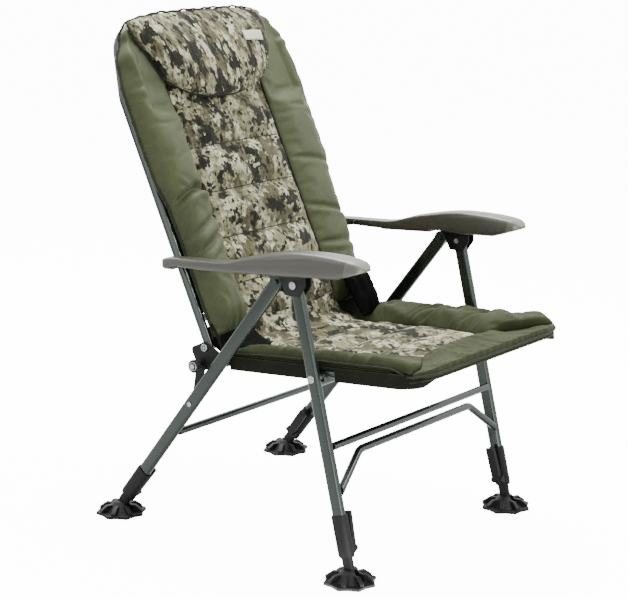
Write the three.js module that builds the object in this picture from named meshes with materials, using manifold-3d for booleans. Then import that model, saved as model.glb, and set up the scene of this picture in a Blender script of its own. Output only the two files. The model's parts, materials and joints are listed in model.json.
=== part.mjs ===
// A folding armchair for anglers: a tilted seat frame, a reclining back, two moulded arms,
// four telescopic legs and four swivelling mud feet.
// Millimetres, +Z up. The sitter faces -Y and the sitter's right side is -X.
// The origin is on the floor, under the middle of the chair.
import * as THREE from "three";
import { mergeVertices } from "three/addons/utils/BufferGeometryUtils.js";
import Module from "manifold-3d";

// Fits and cutters
const clearance = 0.3; // gap between pieces that touch
const runningGap = 0.45; // gap all round a telescopic leg, a pin or a lever
const overrun = 6; // how far a cutter runs past what it cuts
const sides = [
  { name: "right", sign: -1 },
  { name: "left", sign: 1 },
];

// Side view of the linkage, from the front arm pivot
const stance = {
  legSpacing: 570, // between the leg tubes' centre planes
  armPivotHeight: 588,
  armPivotGap: 47, // front leg's arm pivot to rear leg's
  frontReach: 141, // front foot ahead of its arm pivot
  linkPivotOff: 39.3, // link's upper pivot behind the rear leg's middle line
  footPivotHeight: 18,
  seatPivotHeight: 404,
  linkPivotHeight: 290, // the short link's pivot on the rear leg
};

// Flat-oval leg tubes, their inner tubes and the bars between them
const leg = {
  width: 30,
  thickness: 15,
  wall: 1.5,
  collarGap: 34, // foot pivot to the collar's lower end
  endGap: 46, // foot pivot to the outer tube's lower end
  boreDepth: 245,
  innerLength: 225,
  innerEnd: 10.5, // round end at the foot pivot
  travel: 110,
};
const bar = {
  radius: 8,
  forward: 9, // how far the bars lie ahead of the legs' middle
  upperHeight: 268,
  lowerHeight: 244,
  lowerEndHeight: 180,
  lowerSpan: 392, // between the lower bar's two bends
  rearHeight: 223,
  bend: 26,
};

// Plastic collar at each leg's lower end, with its cam lever
const collar = { length: 86, wall: 3.2, lip: 9, ear: 3.4, chamfer: 5 };
const lever = {
  length: 74,
  width: 20,
  thickness: 8,
  pivotRise: 15, // above the collar's lower end
  pivotOff: 7, // clear of the collar's side
  noseRadius: 5.6,
  pinRadius: 2.2,
  tipOff: 4, // how far the free end stands off the collar
};

// Mud foot
const foot = {
  radius: 56,
  points: 8,
  notchShare: 0.86,
  plate: 6,
  hubHeight: 27,
  hubRadius: 15,
  coneRadius: 40,
  ribWidth: 9,
  ribHeight: 15,
  pinRadius: 2.6,
};

// Seat frame, in its own tilted plane through the seat pivot and the link pivot
const seat = {
  tilt: THREE.MathUtils.degToRad(5),
  span: 309, // seat pivot to link pivot
  tubeRadius: 10,
  linkGap: 1.5, // between a link and the leg beside it
  tubeLift: 8, // tubes above the pivots
  frontReach: 221, // front tube ahead of the seat pivot
  tailGap: 21, // link pivot to the side tubes' rear ends
  corner: 34,
  lugHeight: 9, // lug below the pivot's centre
  lugLength: 26,
};
const plate = { thickness: 4, tailRadius: 14, headRadius: 12, toeRadius: 9, toeReach: 66 };
const cross = { radius: 9, back: 17, rise: 28 };
const bolt = { radius: 4, headRadius: 8, head: 4.5, nutRadius: 7.5, nut: 6.5 };
const disc = { radius: 14, thickness: 8, bushRadius: 8 };
const link = { thickness: 2.4, topRadius: 12, lowRadius: 9, pinRadius: 3 };

// Sling over the seat frame: a sheet that sags between two side skirts
const sling = {
  cloth: 2.4,
  rise: 14, // top edge above the tubes' middle
  drop: 14, // skirt below the tubes' middle
  sag: 7,
  slack: 0.9, // between the sling and the cushion
  rearGap: 78, // link pivot to the sling's rear edge
  taut: 130, // length behind the front tube over which the sag begins
  hemRise: 15, // how far the skirt's hem rises along the front
  hemRun: 70, // width over which it rises, from each corner
  notchFront: 42,
  notchRear: 20,
};

// Seat cushion
const cushion = {
  overhang: 3, // side edges outside the side tubes' middles
  panelWidth: 300,
  panelFront: 165, // patterned panel's front seam ahead of the seat pivot
  front: 244, // front edge ahead of the seat pivot
  panelRear: 272, // rear edges behind the seat pivot
  bolsterRear: 246,
  seamRise: 4, // seams above the sling
  panelRise: 10, // patterned panel above its seams
  bolsterCrown: 50, // heights above the pivots' plane
  bolsterEdge: 34,
  rearEdge: 28,
  rearRound: 110, // length over which the side bolsters run out at the rear
  frontCrown: 36,
  frontDrop: 17,
  frontHem: 6,
  channels: 4,
  channelDepth: 4,
  joint: 0.5, // gap between sewn pieces
};

// Backrest frame
const back = {
  lean: THREE.MathUtils.degToRad(25.5),
  pivotInset: 12.2, // ahead of the link pivot
  pivotRise: 36, // above the pivots' plane
  tubeRadius: 10,
  height: 700, // back pivot to the top tube
  corner: 70,
  topSpacing: 430, // between the side tubes' centre lines at the top
  topTaper: 150, // length over which the sides draw in
  barRise: 62, // lower cross bar above the pivot
  barBack: 17,
  rackReach: 178.5, // back pivot to the rack pin
  slingLow: 40,
  slingCloth: 3,
};

// Back cushion, its side bolsters and the head pillow
const padding = {
  low: 8,
  high: 713,
  panelWidth: 318,
  crown: 47,
  seam: 33,
  channels: 7,
  channelDepth: 7,
  bolsterCrown: 58,
  bolsterEdge: 24,
  pillowSeat: 40, // how far the cushion stands out behind the pillow
  edgeRadius: 34, // how fast the ends round off
  armGap: 2.6, // between the cushion and the arms
};
// Side bolster's outer edge: share of the cushion's height, share of its half width between the arms
const outlineShares = [
  [0, 0.955],
  [0.1, 0.982],
  [0.2, 0.992],
  [0.31, 0.992],
  [0.4, 1],
  [0.5, 1.056],
  [0.6, 1.067],
  [0.77, 1.056],
  [0.86, 1.008],
  [0.94, 0.918],
  [1, 0.79],
];
const pillow = { low: 521, high: 702, width: 424, thickness: 44, edge: 9, corner: 74 };

// Moulded arm
const arm = {
  frontReach: 170, // tip ahead of the front arm pivot
  rearReach: 12.5, // rear end behind the rack pin
  insideGap: 1.6, // inner face to the backrest tube
  rearWidth: 32,
  frontWidth: 50,
  frontInset: 10, // wide front's middle, inside the rear's middle
  depth: 50,
  squareness: 0.34, // 1 gives a round section, and less a squarer one
};
// Share of length from the rear end, top and bottom as shares of the depth over the pivots, width blend
const armShares = [
  { along: 0, top: 0.04, bottom: -0.2, wide: 0, full: 0.55 },
  { along: 0.006, top: 0.11, bottom: -0.26, wide: 0, full: 0.84 },
  { along: 0.018, top: 0.17, bottom: -0.3, wide: 0, full: 1 },
  { along: 0.036, top: 0.22, bottom: -0.3, wide: 0, full: 1 },
  { along: 0.052, top: 0.245, bottom: -0.21, wide: 0, full: 1 },
  { along: 0.086, top: 0.275, bottom: -0.1, wide: 0, full: 1 },
  { along: 0.14, top: 0.31, bottom: -0.07, wide: 0, full: 1 },
  { along: 0.205, top: 0.35, bottom: -0.05, wide: 0, full: 1 },
  { along: 0.29, top: 0.41, bottom: 0.024, wide: 0.02, full: 1 },
  { along: 0.34, top: 0.5, bottom: 0.07, wide: 0.05, full: 1 },
  { along: 0.382, top: 0.64, bottom: 0.1, wide: 0.08, full: 1 },
  { along: 0.445, top: 0.85, bottom: 0.15, wide: 0.14, full: 1 },
  { along: 0.529, top: 1.06, bottom: 0.225, wide: 0.24, full: 1 },
  { along: 0.593, top: 1.2, bottom: 0.25, wide: 0.38, full: 1 },
  { along: 0.646, top: 1.3, bottom: 0.29, wide: 0.52, full: 1 },
  { along: 0.702, top: 1.37, bottom: 0.35, wide: 0.68, full: 1 },
  { along: 0.788, top: 1.405, bottom: 0.44, wide: 0.9, full: 1 },
  { along: 0.868, top: 1.4, bottom: 0.505, wide: 1, full: 1 },
  { along: 0.903, top: 1.375, bottom: 0.62, wide: 1, full: 1 },
  { along: 0.934, top: 1.32, bottom: 0.76, wide: 1, full: 0.97 },
  { along: 0.966, top: 1.22, bottom: 0.9, wide: 1, full: 0.86 },
  { along: 0.987, top: 1.13, bottom: 0.98, wide: 1, full: 0.64 },
  { along: 1, top: 1.07, bottom: 1.02, wide: 1, full: 0.3 },
];
const rack = { pinRadius: 4, gap: 1.6, rearGap: 2.5, tooth: 3.2, teeth: 6, pinInset: 11, steps: 4 };
const recline = {
  forward: THREE.MathUtils.degToRad(18), // length of the rack ahead of the pin
  mouth: THREE.MathUtils.degToRad(30), // beyond the teeth, where the pin leaves the arm
};
const bracket = { sheet: 3, topGap: 17, front: 30, rear: 26, drop: 22 };
const rivet = { radius: 4, largeHead: 8, smallHead: 5.5, head: 3 };

// Finishes
const finishes = {
  paint: { color: 0x40473f, roughness: 0.35, metalness: 0.5 },
  plastic: { color: 0x232423, roughness: 0.5, metalness: 0 },
  armPlastic: { color: 0x6b695a, roughness: 0.5, metalness: 0 },
  steel: { color: 0xb9bbbd, roughness: 0.3, metalness: 1 },
  slingCloth: { color: 0x3e3c37, roughness: 0.9, metalness: 0 },
  oliveCloth: { color: 0x5f694b, roughness: 0.8, metalness: 0 },
  patternCloth: { color: 0x968c78, roughness: 0.95, metalness: 0 },
};

const wasm = await Module();
wasm.setup();

// Geometry helpers

// A closed geometry as a solid, and back.
function solidOf(geometry) {
  const plain = new THREE.BufferGeometry().setAttribute("position", geometry.getAttribute("position"));
  if (geometry.index) plain.setIndex(geometry.index);
  const merged = mergeVertices(plain, 1e-4);
  return new wasm.Manifold(
    new wasm.Mesh({
      numProp: 3,
      vertProperties: new Float32Array(merged.attributes.position.array),
      triVerts: new Uint32Array(merged.index.array),
    }),
  );
}

function geometryOf(solid) {
  const mesh = solid.getMesh();
  const geometry = new THREE.BufferGeometry();
  geometry.setAttribute("position", new THREE.BufferAttribute(new Float32Array(mesh.vertProperties), 3));
  geometry.setIndex(new THREE.BufferAttribute(new Uint32Array(mesh.triVerts), 1));
  geometry.computeVertexNormals();
  return geometry;
}

const fuse = (first, ...rest) =>
  geometryOf(rest.reduce((whole, piece) => whole.add(solidOf(piece)), solidOf(first)));

const cut = (whole, ...tools) =>
  geometryOf(tools.reduce((left, tool) => left.subtract(solidOf(tool)), solidOf(whole)));

// Turns a closed geometry's faces outwards, whichever side of the chair it was made for.
function outward(geometry) {
  const p = geometry.attributes.position;
  const index = geometry.index.array;
  const [a, b, c] = [new THREE.Vector3(), new THREE.Vector3(), new THREE.Vector3()];
  let volume = 0;
  for (let i = 0; i < index.length; i += 3) {
    a.fromBufferAttribute(p, index[i]);
    b.fromBufferAttribute(p, index[i + 1]);
    c.fromBufferAttribute(p, index[i + 2]);
    volume += a.dot(b.cross(c));
  }
  if (volume < 0) {
    for (let i = 0; i < index.length; i += 3) {
      [index[i + 1], index[i + 2]] = [index[i + 2], index[i + 1]];
    }
  }
  geometry.computeVertexNormals();
  return geometry;
}

function meshFrom(points, faces) {
  const geometry = new THREE.BufferGeometry().setFromPoints(points);
  geometry.setIndex(faces);
  return outward(geometry);
}

// A rod along X between two places.
function rodX(radius, fromX, toX, y, z, facets = 12) {
  const rod = new THREE.CylinderGeometry(radius, radius, Math.abs(toX - fromX), facets);
  rod.rotateZ(Math.PI / 2);
  rod.translate((fromX + toX) / 2, y, z);
  return rod;
}

// A shape in the Y-Z plane, drawn out along X between two places.
function prismX(shape, fromX, toX) {
  const depth = Math.abs(toX - fromX);
  const prism = new THREE.ExtrudeGeometry(shape, { depth, bevelEnabled: false, curveSegments: 12 });
  const turn = new THREE.Matrix4().makeBasis(
    new THREE.Vector3(0, 1, 0),
    new THREE.Vector3(0, 0, 1),
    new THREE.Vector3(1, 0, 0),
  );
  prism.applyMatrix4(turn);
  prism.translate(Math.min(fromX, toX), 0, 0);
  return prism;
}

// A section in the X-Y plane, drawn up along Z between two places.
function prismZ(shape, fromZ, toZ) {
  const depth = toZ - fromZ;
  const prism = new THREE.ExtrudeGeometry(shape, { depth, bevelEnabled: false, curveSegments: 6 });
  prism.translate(0, 0, fromZ);
  return prism;
}

function box(fromX, toX, fromY, toY, fromZ, toZ) {
  const block = new THREE.BoxGeometry(Math.abs(toX - fromX), Math.abs(toY - fromY), Math.abs(toZ - fromZ));
  block.translate((fromX + toX) / 2, (fromY + toY) / 2, (fromZ + toZ) / 2);
  return block;
}

// A flat-oval section, wide along Y and centred on one X.
function flatOval(centreX, thickness, width) {
  const r = thickness / 2;
  const flat = width / 2 - r;
  const shape = new THREE.Shape();
  shape.absarc(centreX, flat, r, 0, Math.PI, false);
  shape.absarc(centreX, -flat, r, Math.PI, 2 * Math.PI, false);
  shape.closePath();
  return shape;
}

// The outline that a belt round several circles takes.
function beltRound(circles, facets = 16) {
  const points = circles.flatMap(({ y, z, r }) =>
    Array.from({ length: facets }, (_, i) => {
      const angle = (2 * Math.PI * i) / facets;
      return new THREE.Vector2(y + r * Math.cos(angle), z + r * Math.sin(angle));
    }),
  );
  points.sort((p, q) => p.x - q.x || p.y - q.y);
  const half = (list) => {
    const chain = [];
    for (const p of list) {
      while (chain.length > 1) {
        const [o, a] = chain.slice(-2);
        if ((a.x - o.x) * (p.y - o.y) - (a.y - o.y) * (p.x - o.x) > 0) break;
        chain.pop();
      }
      chain.push(p);
    }
    return chain.slice(0, -1);
  };
  return new THREE.Shape([...half(points), ...half([...points].reverse())]);
}

// A path through given points, with a ring of the tube at each of them.
class BentPath extends THREE.Curve {
  constructor(points) {
    super();
    this.points = points;
  }

  getPoint(t, target = new THREE.Vector3()) {
    const at = t * (this.points.length - 1);
    const i = Math.min(Math.floor(at), this.points.length - 2);
    return target.lerpVectors(this.points[i], this.points[i + 1], at - i);
  }

  getUtoTmapping(u) {
    return u;
  }

  getTangent(t, target = new THREE.Vector3()) {
    const last = this.points.length - 1;
    const i = Math.round(t * last);
    const before = this.points[i].clone().sub(this.points[Math.max(i - 1, 0)]).normalize();
    const after = this.points[Math.min(i + 1, last)].clone().sub(this.points[i]).normalize();
    return target.addVectors(before, after).normalize();
  }
}

// Corners rounded into arcs of one radius.
function rounded(corners, radius, steps = 5) {
  const points = [corners[0]];
  for (let i = 1; i < corners.length - 1; i++) {
    const into = corners[i - 1].clone().sub(corners[i]).normalize();
    const out = corners[i + 1].clone().sub(corners[i]).normalize();
    const half = into.angleTo(out) / 2;
    const reach = radius / Math.tan(half);
    const centre = into.clone().add(out).normalize().multiplyScalar(radius / Math.sin(half)).add(corners[i]);
    const from = corners[i].clone().addScaledVector(into, reach).sub(centre);
    const to = corners[i].clone().addScaledVector(out, reach).sub(centre);
    const axis = from.clone().cross(to).normalize();
    const turn = from.angleTo(to);
    for (let k = 0; k <= steps; k++) {
      points.push(from.clone().applyAxisAngle(axis, (turn * k) / steps).add(centre));
    }
  }
  points.push(corners.at(-1));
  return points;
}

function tubeThrough(points, radius, facets = 12) {
  const ring = new THREE.Shape().absarc(0, 0, radius, 0, 2 * Math.PI, false);
  return new THREE.ExtrudeGeometry(ring, {
    steps: points.length - 1,
    curveSegments: facets,
    extrudePath: new BentPath(points),
  });
}

// A closed skin over rings of equal length, with flat ends.
function loft(rings) {
  const count = rings[0].length;
  const points = rings.flat();
  const faces = [];
  for (let r = 0; r < rings.length - 1; r++) {
    for (let i = 0; i < count; i++) {
      const [a, b] = [r * count + i, r * count + ((i + 1) % count)];
      faces.push(a, b, b + count, a, b + count, a + count);
    }
  }
  const tail = (rings.length - 1) * count;
  for (let i = 1; i < count - 1; i++) {
    faces.push(0, i + 1, i, tail, tail + i, tail + i + 1);
  }
  return meshFrom(points, faces);
}

// A cushion between an upper and a lower surface over the same grid, closed by a wall round its edge.
function quilt(columns, rows, upper, lower) {
  const points = [];
  for (const surface of [upper, lower]) {
    for (let j = 0; j <= rows; j++) {
      for (let i = 0; i <= columns; i++) points.push(surface(i / columns, j / rows));
    }
  }
  const across = columns + 1;
  const under = across * (rows + 1);
  const faces = [];
  const quad = (a, b, c, d) => faces.push(a, b, c, a, c, d);
  for (let j = 0; j < rows; j++) {
    for (let i = 0; i < columns; i++) {
      const a = j * across + i;
      quad(a, a + 1, a + 1 + across, a + across);
      quad(under + a, under + a + across, under + a + 1 + across, under + a + 1);
    }
  }
  for (let i = 0; i < columns; i++) {
    const far = rows * across + i;
    quad(i, under + i, under + i + 1, i + 1);
    quad(far, far + 1, under + far + 1, under + far);
  }
  for (let j = 0; j < rows; j++) {
    const [a, b] = [j * across, (j + 1) * across];
    const [c, d] = [a + columns, b + columns];
    quad(a, b, under + b, under + a);
    quad(c, under + c, under + d, d);
  }
  return meshFrom(points, faces);
}

// How full a cushion is at a share of the way across it: nothing at its edges, 1 in its middle.
const puff = (share, power = 2.6) => 1 - Math.abs(2 * share - 1) ** power;

// How far a rounded end has risen, at a distance from the end.
const rise = (distance, radius) =>
  distance >= radius ? 1 : Math.sqrt(Math.max(0, 1 - (1 - distance / radius) ** 2));

// Height of sewn channels, lowest on each seam.
const channel = (share, count) => Math.abs(Math.sin(Math.PI * share * count)) ** 0.6;

// Reads a table of [place, value] pairs, smoothly.
function tableAt(table, place) {
  const next = table.findIndex(([at]) => at >= place);
  if (next <= 0) return table.at(next)[1];
  const [[a, from], [b, to]] = [table[next - 1], table[next]];
  return THREE.MathUtils.lerp(from, to, THREE.MathUtils.smoothstep(place, a, b));
}

function named(name, geometry, finish) {
  const mesh = new THREE.Mesh(geometry, new THREE.MeshStandardMaterial(finishes[finish]));
  mesh.name = name;
  return mesh;
}

// A group turned about X at a place in the side view, and the places that it measures.
class SideFrame extends THREE.Group {
  constructor(origin, turn) {
    super();
    this.position.set(0, origin.y, origin.z);
    this.rotation.x = turn;
    this.updateMatrix();
  }

  local({ y, z }) {
    const p = new THREE.Vector3(0, y, z).applyMatrix4(this.matrix.clone().invert());
    return { y: p.y, z: p.z };
  }

  world({ y, z }) {
    const p = new THREE.Vector3(0, y, z).applyMatrix4(this.matrix);
    return { y: p.y, z: p.z };
  }
}

// Places of the pivots in the side view
const frontArmPivot = { y: 0, z: stance.armPivotHeight };
const rearArmPivot = { y: stance.armPivotGap, z: stance.armPivotHeight };
const frontFoot = { y: -stance.frontReach, z: stance.footPivotHeight };

function legFrame(top, bottom) {
  const frame = new SideFrame(top, Math.atan2(bottom.y - top.y, top.z - bottom.z));
  frame.length = Math.hypot(bottom.y - top.y, bottom.z - top.z);
  return frame;
}

// A place on a leg at a height, measured down the leg from its arm pivot.
const downLeg = (frame, height) => (frame.position.z - height) / Math.cos(frame.rotation.x);

const frontLegs = legFrame(frontArmPivot, frontFoot);
const seatPivotDown = downLeg(frontLegs, stance.seatPivotHeight);
const seatPivot = frontLegs.world({ y: 0, z: -seatPivotDown });

const seatFrame = new SideFrame(seatPivot, -seat.tilt);
const linkTop = { y: seat.span, z: 0 };

// The rear legs pass ahead of the link's upper pivot, and reach the ground on that line.
function rearFootPlace() {
  const pin = seatFrame.world(linkTop);
  const [along, down] = [pin.y - rearArmPivot.y, rearArmPivot.z - pin.z];
  const lean = Math.atan2(along, down) - Math.asin(stance.linkPivotOff / Math.hypot(along, down));
  const height = stance.footPivotHeight;
  return { y: rearArmPivot.y + (rearArmPivot.z - height) * Math.tan(lean), z: height };
}

const rearFoot = rearFootPlace();
const rearLegs = legFrame(rearArmPivot, rearFoot);
const linkPivotDown = downLeg(rearLegs, stance.linkPivotHeight);
const linkLowPivot = rearLegs.world({ y: 0, z: -linkPivotDown });

const backPivot = { y: seat.span - back.pivotInset, z: back.pivotRise };
const backFrame = new SideFrame(seatFrame.world(backPivot), -back.lean);
const rackPin = backFrame.world({ y: 0, z: back.rackReach });

// Places across the chair, for one side
const legX = stance.legSpacing / 2;
const legInside = legX - leg.thickness / 2;
const legOutside = legX + leg.thickness / 2;
const linkInside = legInside - seat.linkGap - link.thickness;
const plateOutside = linkInside - clearance;
const plateInside = plateOutside - plate.thickness;
const tubeOutside = plateInside - clearance;
const tubeX = tubeOutside - seat.tubeRadius;

// Bolts and rivets

// A shaft along X with a head at its outer end, a nut or second head at its inner end and any collars.
function pinX(sign, shaft, inner, outer, y, z, extras = []) {
  const pieces = [rodX(shaft, sign * inner, sign * outer, y, z)];
  for (const { radius, from, to, facets } of extras) {
    pieces.push(rodX(radius, sign * from, sign * to, y, z, facets ?? 14));
  }
  return fuse(...pieces);
}

// Telescopic legs

function outerLeg(sign, frame, bores) {
  const foot = frame.length - leg.endGap;
  const shell = prismZ(flatOval(sign * legX, leg.thickness, leg.width), -foot, 0);
  const head = rodX(leg.width / 2, sign * legInside, sign * legOutside, 0, 0, 24);
  const bore = prismZ(
    flatOval(sign * legX, leg.thickness - 2 * leg.wall, leg.width - 2 * leg.wall),
    -foot - overrun,
    -foot + leg.boreDepth,
  );
  const holes = bores.map(({ radius, down }) =>
    rodX(radius + clearance, sign * (legInside - overrun), sign * (legOutside + overrun), 0, -down),
  );
  return cut(fuse(shell, head), bore, ...holes);
}

const innerThickness = leg.thickness - 2 * leg.wall - 2 * runningGap;
const innerWidth = leg.width - 2 * leg.wall - 2 * runningGap;

function innerLeg(sign, frame) {
  const end = frame.length;
  const stem = prismZ(flatOval(sign * legX, innerThickness, innerWidth), -end + leg.innerEnd, -end + leg.innerLength);
  const toe = rodX(
    leg.innerEnd,
    sign * (legX - innerThickness / 2),
    sign * (legX + innerThickness / 2),
    0,
    -end,
    20,
  );
  const heel = prismZ(flatOval(sign * legX, innerThickness, 2 * leg.innerEnd), -end, -end + 2 * leg.innerEnd);
  const hole = rodX(foot.pinRadius + clearance, sign * (legInside - overrun), sign * (legOutside + overrun), 0, -end);
  return cut(fuse(stem, toe, heel), hole);
}

const collarHalf = leg.thickness / 2 + collar.wall;
const leverAxisX = legX - collarHalf - lever.pivotOff;
const leverHalf = lever.width / 2;

function collarPiece(sign, frame) {
  const low = -frame.length + leg.collarGap;
  const high = low + collar.length;
  const outerThickness = leg.thickness + 2 * collar.wall;
  const outerWidth = leg.width + 2 * collar.wall;
  const rings = [
    [low, -collar.chamfer / 2],
    [low + collar.chamfer, 0],
    [high - collar.chamfer, 0],
    [high, -collar.chamfer / 4],
  ].map(([z, grow]) =>
    flatOval(sign * legX, outerThickness + grow, outerWidth + grow)
      .extractPoints(6)
      .shape.slice(0, -1)
      .map((p) => new THREE.Vector3(p.x, p.y, z)),
  );
  const pivotZ = low + lever.pivotRise;
  const ears = [-1, 1].map((edge) => {
    const from = edge * (leverHalf + runningGap);
    const cheek = beltRound([
      { y: leverAxisX, z: pivotZ, r: lever.noseRadius },
      { y: legX - collarHalf / 2, z: pivotZ - lever.noseRadius, r: lever.noseRadius },
      { y: legX - collarHalf / 2, z: pivotZ + lever.noseRadius, r: lever.noseRadius },
    ]);
    return alongY(cheek, sign, from, from + edge * collar.ear);
  });
  const pinHole = rodY(lever.pinRadius + runningGap / 2, sign * leverAxisX, pivotZ, 2 * overrun + lever.width);
  const gap = 2 * clearance;
  const legHole = prismZ(
    flatOval(sign * legX, leg.thickness + gap, leg.width + gap),
    low + collar.lip,
    high + overrun,
  );
  const innerHole = prismZ(
    flatOval(sign * legX, innerThickness + 2 * runningGap, innerWidth + 2 * runningGap),
    low - overrun,
    low + collar.lip + overrun,
  );
  return cut(fuse(loft(rings), ...ears), legHole, innerHole, pinHole);
}

// A shape in the X-Z plane of one side, drawn along Y between two places.
function alongY(shape, sign, fromY, toY) {
  const depth = Math.abs(toY - fromY);
  const prism = new THREE.ExtrudeGeometry(shape, { depth, bevelEnabled: false, curveSegments: 12 });
  prism.rotateX(Math.PI / 2);
  prism.translate(0, Math.max(fromY, toY), 0);
  if (sign < 0) prism.rotateZ(Math.PI).translate(0, fromY + toY, 0);
  return prism;
}

function rodY(radius, x, z, length, facets = 12) {
  const rod = new THREE.CylinderGeometry(radius, radius, length, facets);
  rod.translate(x, 0, z);
  return rod;
}

function camLever(sign, frame) {
  const pivotZ = -frame.length + leg.collarGap + lever.pivotRise;
  const tipZ = pivotZ + lever.length - lever.thickness / 2;
  const inner = leverAxisX - lever.noseRadius / 2;
  const blade = beltRound([
    { y: inner + lever.noseRadius / 2, z: pivotZ, r: lever.noseRadius },
    { y: inner, z: (pivotZ + tipZ) / 2, r: lever.thickness / 2 },
    { y: inner - lever.tipOff, z: tipZ, r: lever.thickness / 2 },
  ]);
  const body = alongY(blade, sign, -leverHalf, leverHalf);
  const pin = rodY(lever.pinRadius, sign * leverAxisX, pivotZ, lever.width + 2 * (runningGap + collar.ear));
  return fuse(body, pin);
}

function barAcross(frame, down) {
  const end = legInside - clearance;
  return rodX(bar.radius, -end, end, -bar.forward, -down, 14);
}

// The front legs' lower bar runs up from both legs to a straight middle.
function bentBar(frame) {
  const low = -downLeg(frame, bar.lowerEndHeight);
  const high = -downLeg(frame, bar.lowerHeight);
  const end = legInside + leg.thickness / 2;
  const half = bar.lowerSpan / 2;
  const slope = (high - low) / (legInside - half);
  const corners = [
    new THREE.Vector3(-end, -bar.forward, low - slope * (end - legInside)),
    new THREE.Vector3(-half, -bar.forward, high),
    new THREE.Vector3(half, -bar.forward, high),
    new THREE.Vector3(end, -bar.forward, low - slope * (end - legInside)),
  ];
  const whole = tubeThrough(rounded(corners, bar.bend), bar.radius, 7);
  const reach = end + bar.radius + overrun;
  const trims = sides.map(({ sign }) =>
    box(
      sign * (legInside - clearance),
      sign * reach,
      -bar.forward - reach,
      -bar.forward + reach,
      low - reach,
      high + reach,
    ),
  );
  return cut(whole, ...trims);
}

function mudFoot(sign, place) {
  const centre = sign * legX;
  const star = new THREE.Shape(
    Array.from({ length: 2 * foot.points }, (_, i) => {
      const angle = (Math.PI * (i + 0.5)) / foot.points;
      const radius = foot.radius * (i % 2 ? foot.notchShare : 1);
      return new THREE.Vector2(radius * Math.cos(angle), radius * Math.sin(angle));
    }),
  );
  const base = prismZ(star, 0, foot.plate);
  const coneHeight = foot.hubHeight - foot.plate / 2;
  const cone = new THREE.CylinderGeometry(foot.hubRadius, foot.coneRadius, coneHeight, 2 * foot.points);
  cone.rotateX(Math.PI / 2);
  cone.translate(0, 0, foot.plate / 2 + coneHeight / 2);
  const ribs = Array.from({ length: foot.points }, (_, i) => {
    const side = new THREE.Shape([
      new THREE.Vector2(0, foot.plate / 2),
      new THREE.Vector2(foot.radius * foot.notchShare, foot.plate / 2),
      new THREE.Vector2(foot.radius * foot.notchShare, foot.plate + foot.ribHeight / 3),
      new THREE.Vector2(foot.coneRadius * foot.notchShare, foot.plate + foot.ribHeight),
      new THREE.Vector2(0, foot.plate + foot.ribHeight),
    ]);
    const rib = new THREE.ExtrudeGeometry(side, { depth: foot.ribWidth, bevelEnabled: false });
    rib.rotateX(Math.PI / 2);
    rib.translate(0, foot.ribWidth / 2, 0);
    rib.rotateZ((2 * Math.PI * (i + 0.5)) / foot.points);
    return rib;
  });
  const slotHalf = innerThickness / 2 + runningGap;
  const floor = place.z - leg.innerEnd - runningGap;
  const slot = box(-slotHalf, slotHalf, -2 * foot.radius, 2 * foot.radius, floor, foot.hubHeight + overrun);
  const body = cut(fuse(base, cone, ...ribs), slot);
  const pin = rodX(foot.pinRadius, -foot.hubRadius, foot.hubRadius, 0, place.z, 12);
  const whole = fuse(body, pin);
  whole.translate(centre, place.y, 0);
  return whole;
}

function legSet(group, frame, end, place) {
  for (const { name, sign } of sides) {
    group.add(named(`collar_${end}_${name}`, collarPiece(sign, frame), "plastic"));
    group.add(named(`cam_lever_${end}_${name}`, camLever(sign, frame), "plastic"));
    group.add(named(`inner_leg_${end}_${name}`, innerLeg(sign, frame), "plastic"));
  }
  const feet = new THREE.Group();
  for (const { name, sign } of sides) {
    feet.add(named(`mud_foot_${end}_${name}`, mudFoot(sign, place), "plastic"));
  }
  return [group, feet];
}

function frontLegSet() {
  for (const { name, sign } of sides) {
    const bores = [
      { radius: rivet.radius, down: 0 },
      { radius: bolt.radius, down: seatPivotDown },
    ];
    frontLegs.add(named(`front_leg_${name}`, outerLeg(sign, frontLegs, bores), "paint"));
  }
  frontLegs.add(named("front_bar_upper", barAcross(frontLegs, downLeg(frontLegs, bar.upperHeight)), "paint"));
  frontLegs.add(named("front_bar_lower", bentBar(frontLegs), "paint"));
  return legSet(frontLegs, frontLegs, "front", frontFoot);
}

function rearLegSet() {
  for (const { name, sign } of sides) {
    const bores = [
      { radius: rivet.radius, down: 0 },
      { radius: link.pinRadius, down: linkPivotDown },
    ];
    rearLegs.add(named(`rear_leg_${name}`, outerLeg(sign, rearLegs, bores), "paint"));
    const head = { radius: rivet.smallHead, from: legOutside + clearance, to: legOutside + rivet.head };
    const shaft = pinX(sign, link.pinRadius, legInside, legOutside + rivet.head / 2, 0, -linkPivotDown, [head]);
    rearLegs.add(named(`link_rivet_${name}`, shaft, "steel"));
  }
  rearLegs.add(named("rear_bar", barAcross(rearLegs, downLeg(rearLegs, bar.rearHeight)), "paint"));
  return legSet(rearLegs, rearLegs, "rear", rearFoot);
}

// Seat

function seatTubes() {
  const tail = seat.span - seat.tailGap;
  const corners = [
    [-tubeX, tail],
    [-tubeX, -seat.frontReach],
    [tubeX, -seat.frontReach],
    [tubeX, tail],
  ].map(([x, y]) => new THREE.Vector3(x, y, seat.tubeLift));
  const tubes = tubeThrough(rounded(corners, seat.corner), seat.tubeRadius, 7);
  const lugs = sides.map(({ sign }) =>
    box(
      sign * (tubeX - seat.tubeRadius),
      sign * tubeOutside,
      -seat.lugLength / 2,
      seat.lugLength / 2,
      -seat.lugHeight,
      seat.tubeLift,
    ),
  );
  const bores = sides.map(({ sign }) =>
    rodX(bolt.radius + clearance, sign * (tubeX - 3 * seat.tubeRadius), sign * (tubeOutside + overrun), 0, 0),
  );
  return cut(fuse(tubes, ...lugs), ...bores);
}

const crossBar = { y: seat.span + cross.back, z: cross.rise };

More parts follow.
